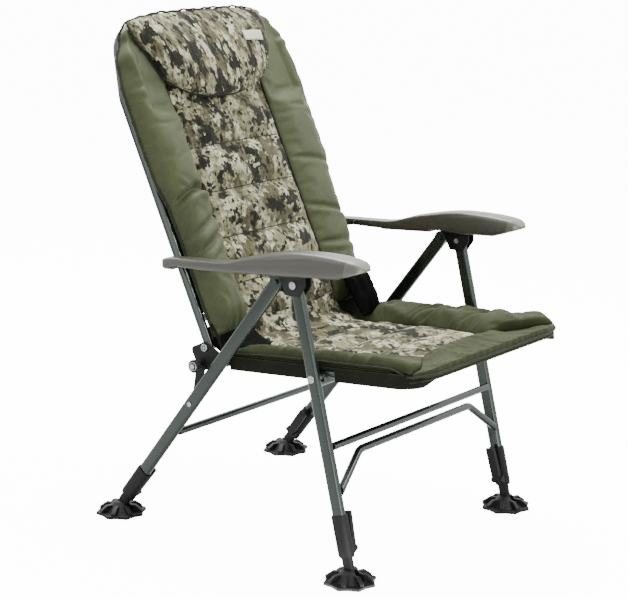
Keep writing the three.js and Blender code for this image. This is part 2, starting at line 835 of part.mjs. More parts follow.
function hingePlate(sign) {
  const outline = beltRound([
    { ...linkTop, r: plate.tailRadius },
    { ...backPivot, r: plate.headRadius },
    { y: seat.span - plate.toeReach, z: seat.tubeLift, r: plate.toeRadius },
    { ...crossBar, r: cross.radius },
  ]);
  const bores = [linkTop, backPivot].map(({ y, z }) =>
    rodX(bolt.radius + clearance, sign * (plateInside - overrun), sign * (plateOutside + overrun), y, z),
  );
  return cut(prismX(outline, sign * plateInside, sign * plateOutside), ...bores);
}

function linkPin(sign) {
  const { y, z } = linkTop;
  const discInside = legOutside + 2 * clearance;
  return pinX(sign, bolt.radius, plateInside - bolt.nut, discInside + disc.thickness + rivet.head, y, z, [
    { radius: bolt.nutRadius, from: plateInside - bolt.nut, to: plateInside - clearance, facets: 6 },
    {
      radius: rivet.smallHead,
      from: discInside + disc.thickness + clearance,
      to: discInside + disc.thickness + rivet.head,
    },
  ]);
}

function linkDisc(sign) {
  const { y, z } = linkTop;
  const discInside = legOutside + 2 * clearance;
  const cap = rodX(disc.radius, sign * discInside, sign * (discInside + disc.thickness), y, z, 20);
  const bushInside = linkInside + link.thickness + clearance;
  const bush = rodX(disc.bushRadius, sign * bushInside, sign * (discInside + disc.thickness / 2), y, z);
  const bore = rodX(
    bolt.radius + clearance,
    sign * (bushInside - overrun),
    sign * (discInside + disc.thickness + overrun),
    y,
    z,
  );
  return cut(fuse(cap, bush), bore);
}

function seatPivotBolt(sign) {
  const nutOuter = tubeX - seat.tubeRadius - clearance;
  return pinX(sign, bolt.radius, nutOuter - bolt.nut, legOutside + bolt.head, 0, 0, [
    { radius: bolt.nutRadius, from: nutOuter - bolt.nut, to: nutOuter, facets: 6 },
    { radius: bolt.headRadius, from: tubeOutside + clearance, to: legInside - clearance },
    { radius: bolt.headRadius, from: legOutside + clearance, to: legOutside + bolt.head },
  ]);
}

// The sling: a sagging sheet over the tubes, with skirts that hang down outside them.
const slingTop = seat.tubeLift + sling.rise;
const slingLow = seat.tubeLift - sling.drop;
const slingHalf = tubeOutside + clearance + sling.cloth;
const slingFront = -seat.frontReach - seat.tubeRadius - clearance - sling.cloth;
const slingRear = seat.span - sling.rearGap;
const slingAt = (x, y) => {
  const slack = THREE.MathUtils.smoothstep(y, -seat.frontReach + seat.tubeRadius, -seat.frontReach + sling.taut);
  return slingTop - sling.sag * slack * puff(0.5 + x / (2 * slingHalf), 3);
};

function seatSling() {
  const grown = seat.corner + seat.tubeRadius + clearance;
  const tray = (inset) => {
    const [half, front, r] = [slingHalf - inset, slingFront + inset, grown + sling.cloth - inset];
    const shape = new THREE.Shape();
    shape.moveTo(half, slingRear);
    shape.lineTo(-half, slingRear);
    shape.absarc(-half + r, front + r, r, Math.PI, 1.5 * Math.PI, false);
    shape.absarc(half - r, front + r, r, 1.5 * Math.PI, 2 * Math.PI, false);
    shape.closePath();
    return shape;
  };
  const walls = cut(
    prismZ(tray(0), slingLow, slingTop),
    prismZ(tray(sling.cloth), slingLow - overrun, slingTop + overrun),
    box(
      -slingHalf + sling.cloth,
      slingHalf - sling.cloth,
      slingRear - overrun,
      slingRear + overrun,
      slingLow - overrun,
      slingTop + overrun,
    ),
  );
  const half = slingHalf - sling.cloth / 2;
  const at = (u, v, drop) => {
    const x = half * (2 * u - 1);
    const start = slingFront + sling.cloth / 2 + seat.corner * cornerCut(u);
    const y = THREE.MathUtils.lerp(start, slingRear, v ** 1.6);
    return new THREE.Vector3(x, y, slingAt(x, y) - drop);
  };
  const sheet = quilt(20, 12, (u, v) => at(u, v, 0), (u, v) => at(u, v, sling.cloth));
  const notches = sides.map(({ sign }) =>
    box(
      sign * (tubeX - 2 * seat.tubeRadius),
      sign * (slingHalf + overrun),
      -sling.notchFront,
      sling.notchRear,
      slingLow - overrun,
      slingTop - 2 * sling.cloth,
    ),
  );
  return cut(fuse(walls, sheet), frontHemCutter(), ...notches);
}

// Takes the skirt's hem away along the front, where the cloth is turned in under the tube.
function frontHemCutter() {
  const half = slingHalf - seat.corner;
  const hem = slingLow + sling.hemRise;
  const shape = new THREE.Shape([
    new THREE.Vector2(-half, slingLow),
    new THREE.Vector2(-half, slingLow - overrun),
    new THREE.Vector2(half, slingLow - overrun),
    new THREE.Vector2(half, slingLow),
    new THREE.Vector2(half - sling.hemRun, hem),
    new THREE.Vector2(-half + sling.hemRun, hem),
  ]);
  const depth = 2 * seat.corner;
  const prism = new THREE.ExtrudeGeometry(shape, { depth, bevelEnabled: false });
  prism.rotateX(Math.PI / 2);
  prism.translate(0, slingFront + seat.corner, 0);
  return prism;
}

// How much of the corner's radius the sheet leaves out, at a share of the way across.
const cornerCut = (u) => {
  const corner = (seat.corner + seat.tubeRadius) / (2 * slingHalf);
  const inside = Math.min(u, 1 - u);
  return inside >= corner ? 0 : 1.15 - rise(inside, corner);
};

// Seat cushion: a patterned panel, two side bolsters and a front band, in the seat's plane.
const panelHalf = cushion.panelWidth / 2;
const cushionHalf = tubeX + cushion.overhang;
const underCushion = (x, y) => slingAt(x, y) + sling.slack;
const seamAt = (x, y) => underCushion(x, y) + cushion.seamRise;

function seatPanel() {
  const half = panelHalf - cushion.joint / 2;
  const length = cushion.panelFront + cushion.panelRear - cushion.joint;
  const place = (u, v) => [half * (2 * u - 1), -cushion.panelFront + cushion.joint / 2 + length * v];
  return quilt(
    8,
    4 * cushion.channels + 4,
    (u, v) => {
      const [x, y] = place(u, v);
      const end = rise((1 - v) * length, padding.edgeRadius * 2);
      const swell = puff(u) * cushion.panelRise;
      const stitched = cushion.channelDepth * (1 - channel(v, cushion.channels)) * puff(u, 6);
      return new THREE.Vector3(x, y, seamAt(x, y) + (swell - stitched * puff(u)) * end);
    },
    (u, v) => {
      const [x, y] = place(u, v);
      return new THREE.Vector3(x, y, underCushion(x, y));
    },
  );
}

function seatBolster(sign) {
  const inner = panelHalf + cushion.joint / 2;
  const front = -cushion.front + cushion.joint;
  const mitre = -cushion.panelFront;
  const place = (u, v) => {
    const x = THREE.MathUtils.lerp(inner, cushionHalf, u);
    const start = THREE.MathUtils.lerp(mitre, front, u);
    return [x, THREE.MathUtils.lerp(start, cushion.bolsterRear, v)];
  };
  return quilt(
    6,
    12,
    (u, v) => {
      const [x, y] = place(u, v);
      const edge = THREE.MathUtils.lerp(seamAt(x, y), cushion.bolsterEdge, u);
      const fromRear = rise(cushion.bolsterRear - y, cushion.rearRound);
      const top = THREE.MathUtils.lerp(cushion.rearEdge, cushion.bolsterCrown, fromRear);
      const full = puff(u, 2.2) * (0.55 + 0.45 * rise(v, 0.25));
      return new THREE.Vector3(sign * x, y, Math.min(edge, top) + Math.max(0, top - edge) * full);
    },
    (u, v) => {
      const [x, y] = place(u, v);
      return new THREE.Vector3(sign * x, y, underCushion(x, y));
    },
  );
}

// Front band, whose front edge turns down over the front tube.
function frontBand() {
  const nose = -slingFront + clearance;
  const band = cushion.front - cushion.panelFront;
  const halfAt = (y) =>
    THREE.MathUtils.lerp(panelHalf, cushionHalf, (y - cushion.panelFront) / band) - cushion.joint;
  const topAt = (v, full) => {
    const bend = Math.max(0, (v - 0.7) / 0.3);
    const y = cushion.panelFront + band * Math.min(1, v / 0.8);
    const seam = seamAt(0, -y);
    const crown = seam + (cushion.frontCrown - seam) * full * puff(Math.min(v / 0.8, 1) * 0.75 + 0.05);
    return [y, THREE.MathUtils.lerp(crown, cushion.frontDrop, bend ** 1.4)];
  };
  return quilt(
    16,
    10,
    (u, v) => {
      const [y, z] = topAt(v, puff(u, 5));
      return new THREE.Vector3(halfAt(y) * (2 * u - 1), -y, z);
    },
    (u, v) => {
      const y = THREE.MathUtils.lerp(cushion.panelFront, nose, Math.min(1, v / 0.8));
      const x = halfAt(y) * (2 * u - 1);
      const bend = Math.max(0, (v - 0.8) / 0.2);
      return new THREE.Vector3(x, -y, THREE.MathUtils.lerp(underCushion(x, -y), cushion.frontHem, bend));
    },
  );
}

function seatSet() {
  seatFrame.add(named("seat_frame", seatTubes(), "paint"));
  const plateFace = plateInside - clearance;
  seatFrame.add(named("seat_cross_bar", rodX(cross.radius, -plateFace, plateFace, crossBar.y, crossBar.z), "paint"));
  for (const { name, sign } of sides) {
    seatFrame.add(named(`hinge_plate_${name}`, hingePlate(sign), "plastic"));
    seatFrame.add(named(`link_pin_${name}`, linkPin(sign), "steel"));
    seatFrame.add(named(`link_disc_${name}`, linkDisc(sign), "plastic"));
    seatFrame.add(named(`seat_pivot_bolt_${name}`, seatPivotBolt(sign), "steel"));
    seatFrame.add(named(`seat_bolster_${name}`, seatBolster(sign), "oliveCloth"));
  }
  seatFrame.add(named("seat_sling", seatSling(), "slingCloth"));
  seatFrame.add(named("seat_panel", seatPanel(), "patternCloth"));
  seatFrame.add(named("seat_front_band", frontBand(), "oliveCloth"));
  return seatFrame;
}

// Short links between the seat's rear end and the rear legs
function linkSet() {
  const low = seatFrame.local(linkLowPivot);
  const group = new SideFrame(seatPivot, -seat.tilt);
  for (const { name, sign } of sides) {
    const outline = beltRound([
      { ...linkTop, r: link.topRadius },
      { ...low, r: link.lowRadius },
    ]);
    const ends = [
      [linkTop, bolt.radius],
      [low, link.pinRadius],
    ];
    const bores = ends.map(([{ y, z }, radius]) =>
      rodX(radius + runningGap, sign * (linkInside - overrun), sign * (linkInside + overrun), y, z),
    );
    const strap = prismX(outline, sign * linkInside, sign * (linkInside + link.thickness));
    group.add(named(`link_${name}`, cut(strap, ...bores), "plastic"));
  }
  return group;
}

// Backrest, in its own plane: Z up the back, -Y towards the sitter

function backTubes() {
  const top = back.height;
  const corners = [
    [-tubeX, 0],
    [-tubeX, top - back.topTaper],
    [-back.topSpacing / 2, top],
    [back.topSpacing / 2, top],
    [tubeX, top - back.topTaper],
    [tubeX, 0],
  ].map(([x, z]) => new THREE.Vector3(x, 0, z));
  const tubes = tubeThrough(rounded(corners, back.corner, 6), back.tubeRadius, 7);
  const feet = sides.map(({ sign }) => {
    const ball = new THREE.SphereGeometry(back.tubeRadius, 14, 8);
    ball.rotateX(Math.PI / 2);
    ball.translate(sign * tubeX, 0, 0);
    return ball;
  });
  const reach = tubeX - back.tubeRadius / 2;
  const low = new THREE.Vector3(0, back.barBack, back.barRise);
  const barEnds = [-1, 1].map((sign) => new THREE.Vector3(sign * reach, 0, back.barRise));
  const bends = [-1, 1].map((sign) => new THREE.Vector3(sign * reach * 0.86, low.y, low.z));
  const lowBar = tubeThrough([barEnds[0], bends[0], bends[1], barEnds[1]], bar.radius, 6);
  const bores = sides.flatMap(({ sign }) => {
    const [from, to] = [sign * (tubeX - 3 * back.tubeRadius), sign * (tubeOutside + overrun)];
    return [
      rodX(bolt.radius + clearance, from, to, 0, 0),
      rodX(rack.pinRadius + clearance, from, to, 0, back.rackReach),
    ];
  });
  return cut(fuse(tubes, ...feet, lowBar), ...bores);
}

function backPivotBolt(sign) {
  const { y, z } = backPivot;
  const nutOuter = tubeX - back.tubeRadius - clearance;
  return pinX(sign, bolt.radius, nutOuter - bolt.nut, plateOutside + bolt.head, y, z, [
    { radius: bolt.nutRadius, from: nutOuter - bolt.nut, to: nutOuter, facets: 6 },
    { radius: bolt.headRadius, from: plateOutside + clearance, to: plateOutside + bolt.head },
  ]);
}

function rackPinPiece(sign) {
  const nutOuter = tubeX - back.tubeRadius - clearance;
  const end = armInside + arm.rearWidth - rack.pinInset;
  return pinX(sign, rack.pinRadius, nutOuter - rivet.head, end, 0, back.rackReach, [
    { radius: rivet.smallHead, from: nutOuter - rivet.head, to: nutOuter },
  ]);
}

function backSling() {
  const half = (z) => {
    const draw = THREE.MathUtils.clamp((z - back.height + back.topTaper) / back.topTaper, 0, 1);
    return THREE.MathUtils.lerp(tubeX, back.topSpacing / 2, draw) - back.tubeRadius / Math.cos(slantAngle) - clearance;
  };
  const high = back.height - back.tubeRadius - clearance;
  const rows = [back.slingLow, back.height - back.topTaper - back.corner, back.height - back.topTaper, high];
  const at = (u, v, y) => {
    const i = Math.min(Math.floor(v * 3), 2);
    const z = THREE.MathUtils.lerp(rows[i], rows[i + 1], v * 3 - i);
    const corner = rise(back.height - z, back.corner);
    return new THREE.Vector3(half(z) * corner * (2 * u - 1), y, z);
  };
  const front = -back.slingCloth / 2;
  const notch = box(-tubeX, tubeX, -overrun, overrun, back.slingLow - overrun, back.barRise + bar.radius + clearance);
  const sheet = quilt(2, 9, (u, v) => at(u, v, front), (u, v) => at(u, v, -front));
  const nutRoom = rodX(rivet.smallHead + clearance, -tubeX, tubeX, 0, back.rackReach);
  const keep = tubeX - back.tubeRadius - rivet.head - 2 * clearance;
  const between = box(-keep, keep, -overrun, overrun, back.rackReach - overrun, back.rackReach + overrun);
  return cut(sheet, notch, cut(nutRoom, between));
}

const slantAngle = Math.atan2(tubeX - back.topSpacing / 2, back.topTaper);

// Cushion outline and heights over the back's length
const padLength = padding.high - padding.low;
const backPanelHalf = padding.panelWidth / 2;
const outerEdge = (share) => (armInside - padding.armGap) * tableAt(outlineShares, share);
const ends = (z) => rise(z - padding.low, 2 * padding.edgeRadius) * rise(padding.high - z, padding.edgeRadius);
const pillowPlace = (x, z) => {
  const beside = Math.abs(x) - pillow.width / 2;
  const below = pillow.low - z;
  return (
    (1 - THREE.MathUtils.smoothstep(below, padding.edgeRadius, 2 * padding.edgeRadius)) *
    (1 - THREE.MathUtils.smoothstep(beside, padding.edgeRadius / 2, padding.edgeRadius))
  );
};

// How far a cushion surface may stand out: less where the pillow lies on it.
const underPillow = (height, x, z) =>
  Math.min(height, THREE.MathUtils.lerp(height, padding.pillowSeat, pillowPlace(x, z)));

// Where a cushion's rear surface lies: on the sling, and in front of the top tube.
const padBack = (z) => {
  const over = THREE.MathUtils.smoothstep(z, back.height - 6 * back.tubeRadius, back.height - 2 * back.tubeRadius);
  return THREE.MathUtils.lerp(back.slingCloth / 2, back.tubeRadius, over) + clearance;
};

function backPanel() {
  const half = backPanelHalf - cushion.joint / 2;
  const place = (u, v) => [half * (2 * u - 1), padding.low + padLength * v];
  return quilt(
    8,
    5 * padding.channels + 3,
    (u, v) => {
      const [x, z] = place(u, v);
      const stitched = padding.channelDepth * (1 - channel(v, padding.channels)) * puff(u, 6);
      const full = padding.seam + (padding.crown - padding.seam) * puff(u) - stitched;
      const thin = padBack(z) + back.slingCloth;
      const height = thin + (full - thin) * ends(z);
      return new THREE.Vector3(x, -underPillow(height, x, z), z);
    },
    (u, v) => {
      const [x, z] = place(u, v);
      return new THREE.Vector3(x, -padBack(z), z);
    },
  );
}

function backBolster(sign) {
  const inner = backPanelHalf + cushion.joint / 2;
  const behind = back.tubeRadius + clearance;
  const place = (u, v) => {
    const outer = outerEdge(v);
    return [THREE.MathUtils.lerp(inner, outer, u), padding.low + padLength * v];
  };
  return quilt(
    6,
    22,
    (u, v) => {
      const [x, z] = place(u, v);
      const edge = THREE.MathUtils.lerp(padding.seam, padding.bolsterEdge, u);
      const full = edge + (padding.bolsterCrown - edge) * puff(u, 2.4);
      const thin = behind + back.slingCloth;
      return new THREE.Vector3(sign * x, -underPillow(thin + (full - thin) * ends(z), x, z), z);
    },
    (u, v) => {
      const [x, z] = place(u, v);
      return new THREE.Vector3(sign * x, -behind, z);
    },
  );
}

function headPillow() {
  const [low, high, half] = [pillow.low, pillow.high, pillow.width / 2];
  const base = padding.pillowSeat + clearance;
  const place = (u, v) => {
    const across = 2 * u - 1;
    const x = half * across * (0.93 + 0.07 * rise(v, 0.4));
    const dip = pillow.corner * Math.abs(across) ** 2.6;
    return [x, THREE.MathUtils.lerp(low + dip, high - pillow.edge * across ** 4, v)];
  };
  return quilt(
    14,
    8,
    (u, v) => {
      const [x, z] = place(u, v);
      const full = rise(Math.min(u, 1 - u), 0.2) * rise(Math.min(v, 1 - v), 0.45);
      return new THREE.Vector3(x, -base - THREE.MathUtils.lerp(pillow.edge, pillow.thickness, full), z);
    },
    (u, v) => {
      const [x, z] = place(u, v);
      return new THREE.Vector3(x, -base, z);
    },
  );
}

function backSet() {
  backFrame.add(named("back_frame", backTubes(), "paint"));
  backFrame.add(named("back_sling", backSling(), "slingCloth"));
  backFrame.add(named("back_panel", backPanel(), "patternCloth"));
  backFrame.add(named("head_pillow", headPillow(), "patternCloth"));
  const hinge = new SideFrame(seatPivot, -seat.tilt);
  for (const { name, sign } of sides) {
    backFrame.add(named(`back_bolster_${name}`, backBolster(sign), "oliveCloth"));
    backFrame.add(named(`rack_pin_${name}`, rackPinPiece(sign), "steel"));
    hinge.add(named(`back_pivot_bolt_${name}`, backPivotBolt(sign), "steel"));
  }
  return [backFrame, hinge];
}

// Arms, measured from the front arm pivot

const armInside = tubeX + back.tubeRadius + arm.insideGap;
const armMiddle = armInside + arm.rearWidth / 2;
const armRear = rackPin.y - frontArmPivot.y + arm.rearReach;
const armLength = armRear + arm.frontReach;

// The rack's cutter: below an arc of teeth round the back pivot, and a smooth mouth ahead of them, open downwards and
// inwards.
function rackCutter(sign) {
  const centre = backFrame.position;
  const start = Math.atan2(rackPin.z - centre.z, rackPin.y - centre.y);
  const tip = back.rackReach + rack.pinRadius + rack.gap;
  const margin = (rack.pinRadius + rack.rearGap) / back.rackReach;
  const from = start - margin;
  const sweep = recline.forward + margin;
  const points = [];
  for (let i = 0; i <= 2 * rack.teeth; i++) {
    const angle = from + (sweep * i) / (2 * rack.teeth);
    const radius = tip + (i % 2 ? 0 : rack.tooth);
    points.push(
      new THREE.Vector2(
        centre.y + radius * Math.cos(angle) - frontArmPivot.y,
        centre.z + radius * Math.sin(angle) - frontArmPivot.z,
      ),
    );
  }
  for (let i = 1; i <= rack.steps; i++) {
    const angle = from + sweep + (recline.mouth * i) / rack.steps;
    points.push(
      new THREE.Vector2(
        centre.y + tip * Math.cos(angle) - frontArmPivot.y,
        centre.z + tip * Math.sin(angle) - frontArmPivot.z,
      ),
    );
  }
  const low = -2 * arm.depth;
  const shape = new THREE.Shape([...points, new THREE.Vector2(points.at(-1).x, low), new THREE.Vector2(points[0].x, low)]);
  return prismX(shape, sign * (armInside - overrun), sign * (armInside + arm.rearWidth - rack.pinInset + 2 * clearance));
}

const bracketTop = bracket.topGap + bracket.sheet;

function armPiece(sign) {
  const facets = 20;
  const rings = armShares.map(({ along, top, bottom, wide, full }) => {
    const y = armRear - armLength * along;
    const width = THREE.MathUtils.lerp(arm.rearWidth, arm.frontWidth, wide) * full;
    const middle = armMiddle - arm.frontInset * wide;
    const [high, low] = [arm.depth * top, arm.depth * bottom];
    return Array.from({ length: facets }, (_, i) => {
      const angle = (2 * Math.PI * (i + 0.5)) / facets;
      const corner = (value) => Math.sign(value) * Math.abs(value) ** arm.squareness;
      const x = middle + (width / 2) * corner(Math.cos(angle));
      const z = (high + low) / 2 + ((high - low) / 2) * corner(Math.sin(angle));
      return new THREE.Vector3(sign * x, y, z);
    });
  });
  const seatCut = box(
    sign * (armInside - arm.frontWidth),
    sign * (legOutside + bracket.sheet + 2 * clearance),
    -bracket.front - clearance,
    stance.armPivotGap + bracket.rear + clearance,
    -arm.depth,
    bracketTop + clearance,
  );
  return cut(loft(rings), rackCutter(sign), seatCut);
}

function armBracket(sign) {
  const inner = legInside - clearance - bracket.sheet;
  const outer = legOutside + clearance + bracket.sheet;
  const rear = stance.armPivotGap + bracket.rear;
  const outline = new THREE.Shape([
    new THREE.Vector2(-bracket.front, bracketTop),
    new THREE.Vector2(-bracket.front, 0),
    new THREE.Vector2(-bracket.front / 2, -bracket.drop),
    new THREE.Vector2(stance.armPivotGap + bracket.rear / 2, -bracket.drop),
    new THREE.Vector2(rear, 0),
    new THREE.Vector2(rear, bracketTop),
  ]);
  const slot = box(
    sign * (legInside - clearance),
    sign * (legOutside + clearance),
    -bracket.front - overrun,
    rear + overrun,
    -bracket.drop - overrun,
    bracket.topGap,
  );
  const bores = [0, stance.armPivotGap].map((y) =>
    rodX(rivet.radius + clearance, sign * (inner - overrun), sign * (outer + overrun), y, 0),
  );
  return cut(prismX(outline, sign * inner, sign * outer), slot, ...bores);
}

function armRivet(sign, y, headRadius) {
  const inner = legInside - clearance - bracket.sheet;
  const outer = legOutside + clearance + bracket.sheet;
  return pinX(sign, rivet.radius, inner - rivet.head, outer + rivet.head, y, 0, [
    { radius: rivet.smallHead, from: inner - rivet.head, to: inner - clearance },
    { radius: headRadius, from: outer + clearance, to: outer + rivet.head },
  ]);
}

function armSet() {
  const group = new SideFrame(frontArmPivot, 0);
  for (const { name, sign } of sides) {
    group.add(named(`arm_${name}`, armPiece(sign), "armPlastic"));
    group.add(named(`arm_bracket_${name}`, armBracket(sign), "plastic"));
    group.add(named(`front_arm_rivet_${name}`, armRivet(sign, 0, rivet.largeHead), "steel"));
    group.add(named(`rear_arm_rivet_${name}`, armRivet(sign, stance.armPivotGap, rivet.smallHead), "paint"));
  }
  return group;
}

// The whole chair, moved so that its origin is under its middle
const chair = new THREE.Group();
chair.add(seatSet(), linkSet(), ...backSet(), armSet(), ...frontLegSet(), ...rearLegSet());
chair.updateMatrixWorld(true);
const extent = new THREE.Box3().setFromObject(chair, true);
chair.position.set(0, -(extent.min.y + extent.max.y) / 2, -extent.min.z);

const model = new THREE.Group();
model.name = "carp_chair";
model.add(chair);
export default model;
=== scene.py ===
"""Looks of a folding, reclining armchair for anglers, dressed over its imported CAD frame.

Everything is in metres in the frame of the CAD: +Z up, the sitter faces -Y, the origin is on the floor under the
middle of the chair. The hardware and the slings are copies of their CAD nodes. The edges are rounded, the brackets
opened where the rear legs pass, and the arms' ends shaped further. The cushions, piping and the cloth of the crook
are sewn here.
"""

from __future__ import annotations

import json
import logging
import math
from dataclasses import dataclass, field
from enum import Enum
from typing import Callable, Iterable, Sequence

import bmesh
import bpy
from mathutils import Matrix, Vector, noise
from mathutils.bvhtree import BVHTree
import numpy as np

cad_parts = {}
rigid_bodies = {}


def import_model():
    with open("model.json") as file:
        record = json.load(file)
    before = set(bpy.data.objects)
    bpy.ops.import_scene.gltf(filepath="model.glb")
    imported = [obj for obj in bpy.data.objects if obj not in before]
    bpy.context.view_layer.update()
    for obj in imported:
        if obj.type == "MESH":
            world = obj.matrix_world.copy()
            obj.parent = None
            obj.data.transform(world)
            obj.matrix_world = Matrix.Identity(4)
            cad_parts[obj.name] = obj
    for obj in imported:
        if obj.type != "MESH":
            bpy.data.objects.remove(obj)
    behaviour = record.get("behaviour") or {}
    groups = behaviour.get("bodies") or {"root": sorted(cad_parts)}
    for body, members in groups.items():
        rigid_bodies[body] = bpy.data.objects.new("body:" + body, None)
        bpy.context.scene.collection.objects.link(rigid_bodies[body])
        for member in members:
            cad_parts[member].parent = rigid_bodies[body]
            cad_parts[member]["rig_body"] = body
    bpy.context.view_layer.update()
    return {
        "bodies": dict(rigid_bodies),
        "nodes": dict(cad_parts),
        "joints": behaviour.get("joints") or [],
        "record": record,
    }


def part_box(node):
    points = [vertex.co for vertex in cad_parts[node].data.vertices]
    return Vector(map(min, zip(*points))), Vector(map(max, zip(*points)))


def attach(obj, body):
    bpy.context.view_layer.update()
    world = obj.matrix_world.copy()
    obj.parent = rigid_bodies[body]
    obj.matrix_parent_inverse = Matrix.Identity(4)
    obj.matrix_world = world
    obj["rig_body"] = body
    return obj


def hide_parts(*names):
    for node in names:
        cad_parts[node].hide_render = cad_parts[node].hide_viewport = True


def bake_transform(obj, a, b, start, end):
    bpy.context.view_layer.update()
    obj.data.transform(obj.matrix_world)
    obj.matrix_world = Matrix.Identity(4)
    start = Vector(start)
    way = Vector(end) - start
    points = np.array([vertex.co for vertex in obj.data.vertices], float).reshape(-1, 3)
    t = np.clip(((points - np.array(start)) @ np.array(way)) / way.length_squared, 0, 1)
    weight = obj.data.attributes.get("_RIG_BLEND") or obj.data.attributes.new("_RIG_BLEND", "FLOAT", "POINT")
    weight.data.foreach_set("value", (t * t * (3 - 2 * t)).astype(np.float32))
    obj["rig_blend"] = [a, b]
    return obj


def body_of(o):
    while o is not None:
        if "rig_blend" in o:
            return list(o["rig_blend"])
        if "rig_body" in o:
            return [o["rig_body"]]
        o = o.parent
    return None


LOG = logging.getLogger("anglers_chair")

SEAT_TILT = math.radians(5)
BACK_LEAN = math.radians(25.5)
SHARP = math.radians(38)
CAD_JOIN = 2e-6
FRAMES = range(1, 21)

Piece = bpy.types.Object
Socket = bpy.types.NodeSocket
Inputs = dict[str | int, object]
Pair = tuple[float, float]
Triple = tuple[float, float, float]
Table = Sequence[Pair]
Surface = Callable[[float, float], Vector]


class Side(Enum):
    """The two sides of the chair, as the sitter has them."""

    RIGHT = -1
    LEFT = 1

    @property
    def word(self) -> str:
        """The side's word in the names of nodes and pieces."""
        return self.name.lower()

    def of(self, pair: Sequence) -> object:
        """The side's own one of a pair of values, right and left."""
        return pair[self is Side.LEFT]


class Slot(Enum):
    """The record's material slots."""

    PAINT = "paint"
    PLASTIC = "plastic"
    ARM_PLASTIC = "arm_plastic"
    STEEL = "steel"
    SLING_CLOTH = "sling_cloth"
    OLIVE_CLOTH = "olive_cloth"
    PATTERN_CLOTH = "pattern_cloth"


def srgb(red: int, green: int, blue: int) -> tuple[float, float, float, float]:
    """Turns a screen colour into Blender's linear one.

    Args:
        red: Red, 0 to 255.
        green: Green, 0 to 255.
        blue: Blue, 0 to 255.

    Returns:
        The linear colour with full alpha.
    """

    def linear(value: int) -> float:
        """One channel of the colour."""
        share = value / 255
        return share / 12.92 if share <= 0.04045 else ((share + 0.055) / 1.055) ** 2.4

    return linear(red), linear(green), linear(blue), 1.0


@dataclass
class Wiring:
    """A node tree with short calls for adding and joining nodes."""

    tree: bpy.types.NodeTree

    def add(self, kind: str, inputs: Inputs | None = None, **settings: object) -> bpy.types.Node:
        """Adds a node.

        Args:
            kind: Name of the shader node's type, without its prefix.
            inputs: Values or sockets for the node's inputs, by name or index.
            **settings: The node's own properties.

        Returns:
            The node.
        """
        node = self.tree.nodes.new(kind if kind.startswith("Node") else "ShaderNode" + kind)
        for name, value in settings.items():
            setattr(node, name, value)
        self.fill(node, inputs or {})
        return node

    def fill(self, node: bpy.types.Node, inputs: Inputs) -> None:
        """Links sockets to a node's inputs, or sets their values.

        Args:
            node: The node.
            inputs: Values or sockets, by name or index.
        """
        for name, value in inputs.items():
            if isinstance(value, Socket):
                self.tree.links.new(value, node.inputs[name])
            else:
                node.inputs[name].default_value = value

    def math(self, operation: str, first: object, second: object = 0.0, third: object = 0.0) -> Socket:
        """Adds a Math node and returns its output."""
        return self.add("Math", {0: first, 1: second, 2: third}, operation=operation).outputs[0]

    def vector(self, operation: str, first: object, second: Inputs) -> Socket:
        """Adds a Vector Math node and returns its output."""
        return self.add("VectorMath", {0: first, **second}, operation=operation).outputs[0]

    def mix(self, share: object, first: object, second: object, blend: str = "MIX") -> Socket:
        """Mixes two colours.

        Args:
            share: How much of the second colour, a value or a socket.
            first: First colour.
            second: Second colour.
            blend: Blend mode.

        Returns:
            The mixed colour's socket.
        """
        return self.add("Mix", {0: share, 6: first, 7: second}, data_type="RGBA", blend_type=blend).outputs[2]

    def ramp(self, share: object, low: Pair, high: Pair) -> Socket:
        """Maps a value through a grey ramp.

        Args:
            share: The value's socket.
            low: Place and grey level where the ramp starts.
            high: Place and grey level where it ends.

        Returns:
            The mapped value's socket.
        """
        node = self.add("ValToRGB", {0: share})
        for element, (place, level) in zip(node.color_ramp.elements, (low, high)):
            element.position = place
            element.color = (level, level, level, 1)
        return node.outputs[0]

    def noise(self, vector: object, scale: object, detail: float, roughness: float = 0.5) -> Socket:
        """Adds a noise texture and returns its value.

        Args:
            vector: Coordinates.
            scale: Features per metre.
            detail: Octaves.
            roughness: Strength of the fine octaves.

        Returns:
            The noise value's socket.
        """
        inputs = {"Vector": vector, "Scale": scale, "Detail": detail, "Roughness": roughness}
        return self.add("TexNoise", inputs).outputs[0]


def new_group(name: str, inputs: dict[str, float], outputs: Sequence[str]) -> tuple[Wiring, list[Socket]]:
    """Starts a shader node group, whose first input is a vector.

    Args:
        name: The group's name.
        inputs: Default value of each further input, by name.
        outputs: Name of each output. Color is a colour, the others are values.

    Returns:
        The group's wiring and the sockets of its inputs.
    """
    wiring = Wiring(bpy.data.node_groups.new(name, "ShaderNodeTree"))
    interface = wiring.tree.interface
    interface.new_socket(name="Vector", in_out="INPUT", socket_type="NodeSocketVector")
    for label, value in inputs.items():
        interface.new_socket(name=label, in_out="INPUT", socket_type="NodeSocketFloat").default_value = value
    for label in outputs:
        kind = "NodeSocketColor" if label == "Color" else "NodeSocketFloat"
        interface.new_socket(name=label, in_out="OUTPUT", socket_type=kind)
    return wiring, wiring.add("NodeGroupInput").outputs[: len(inputs) + 1]


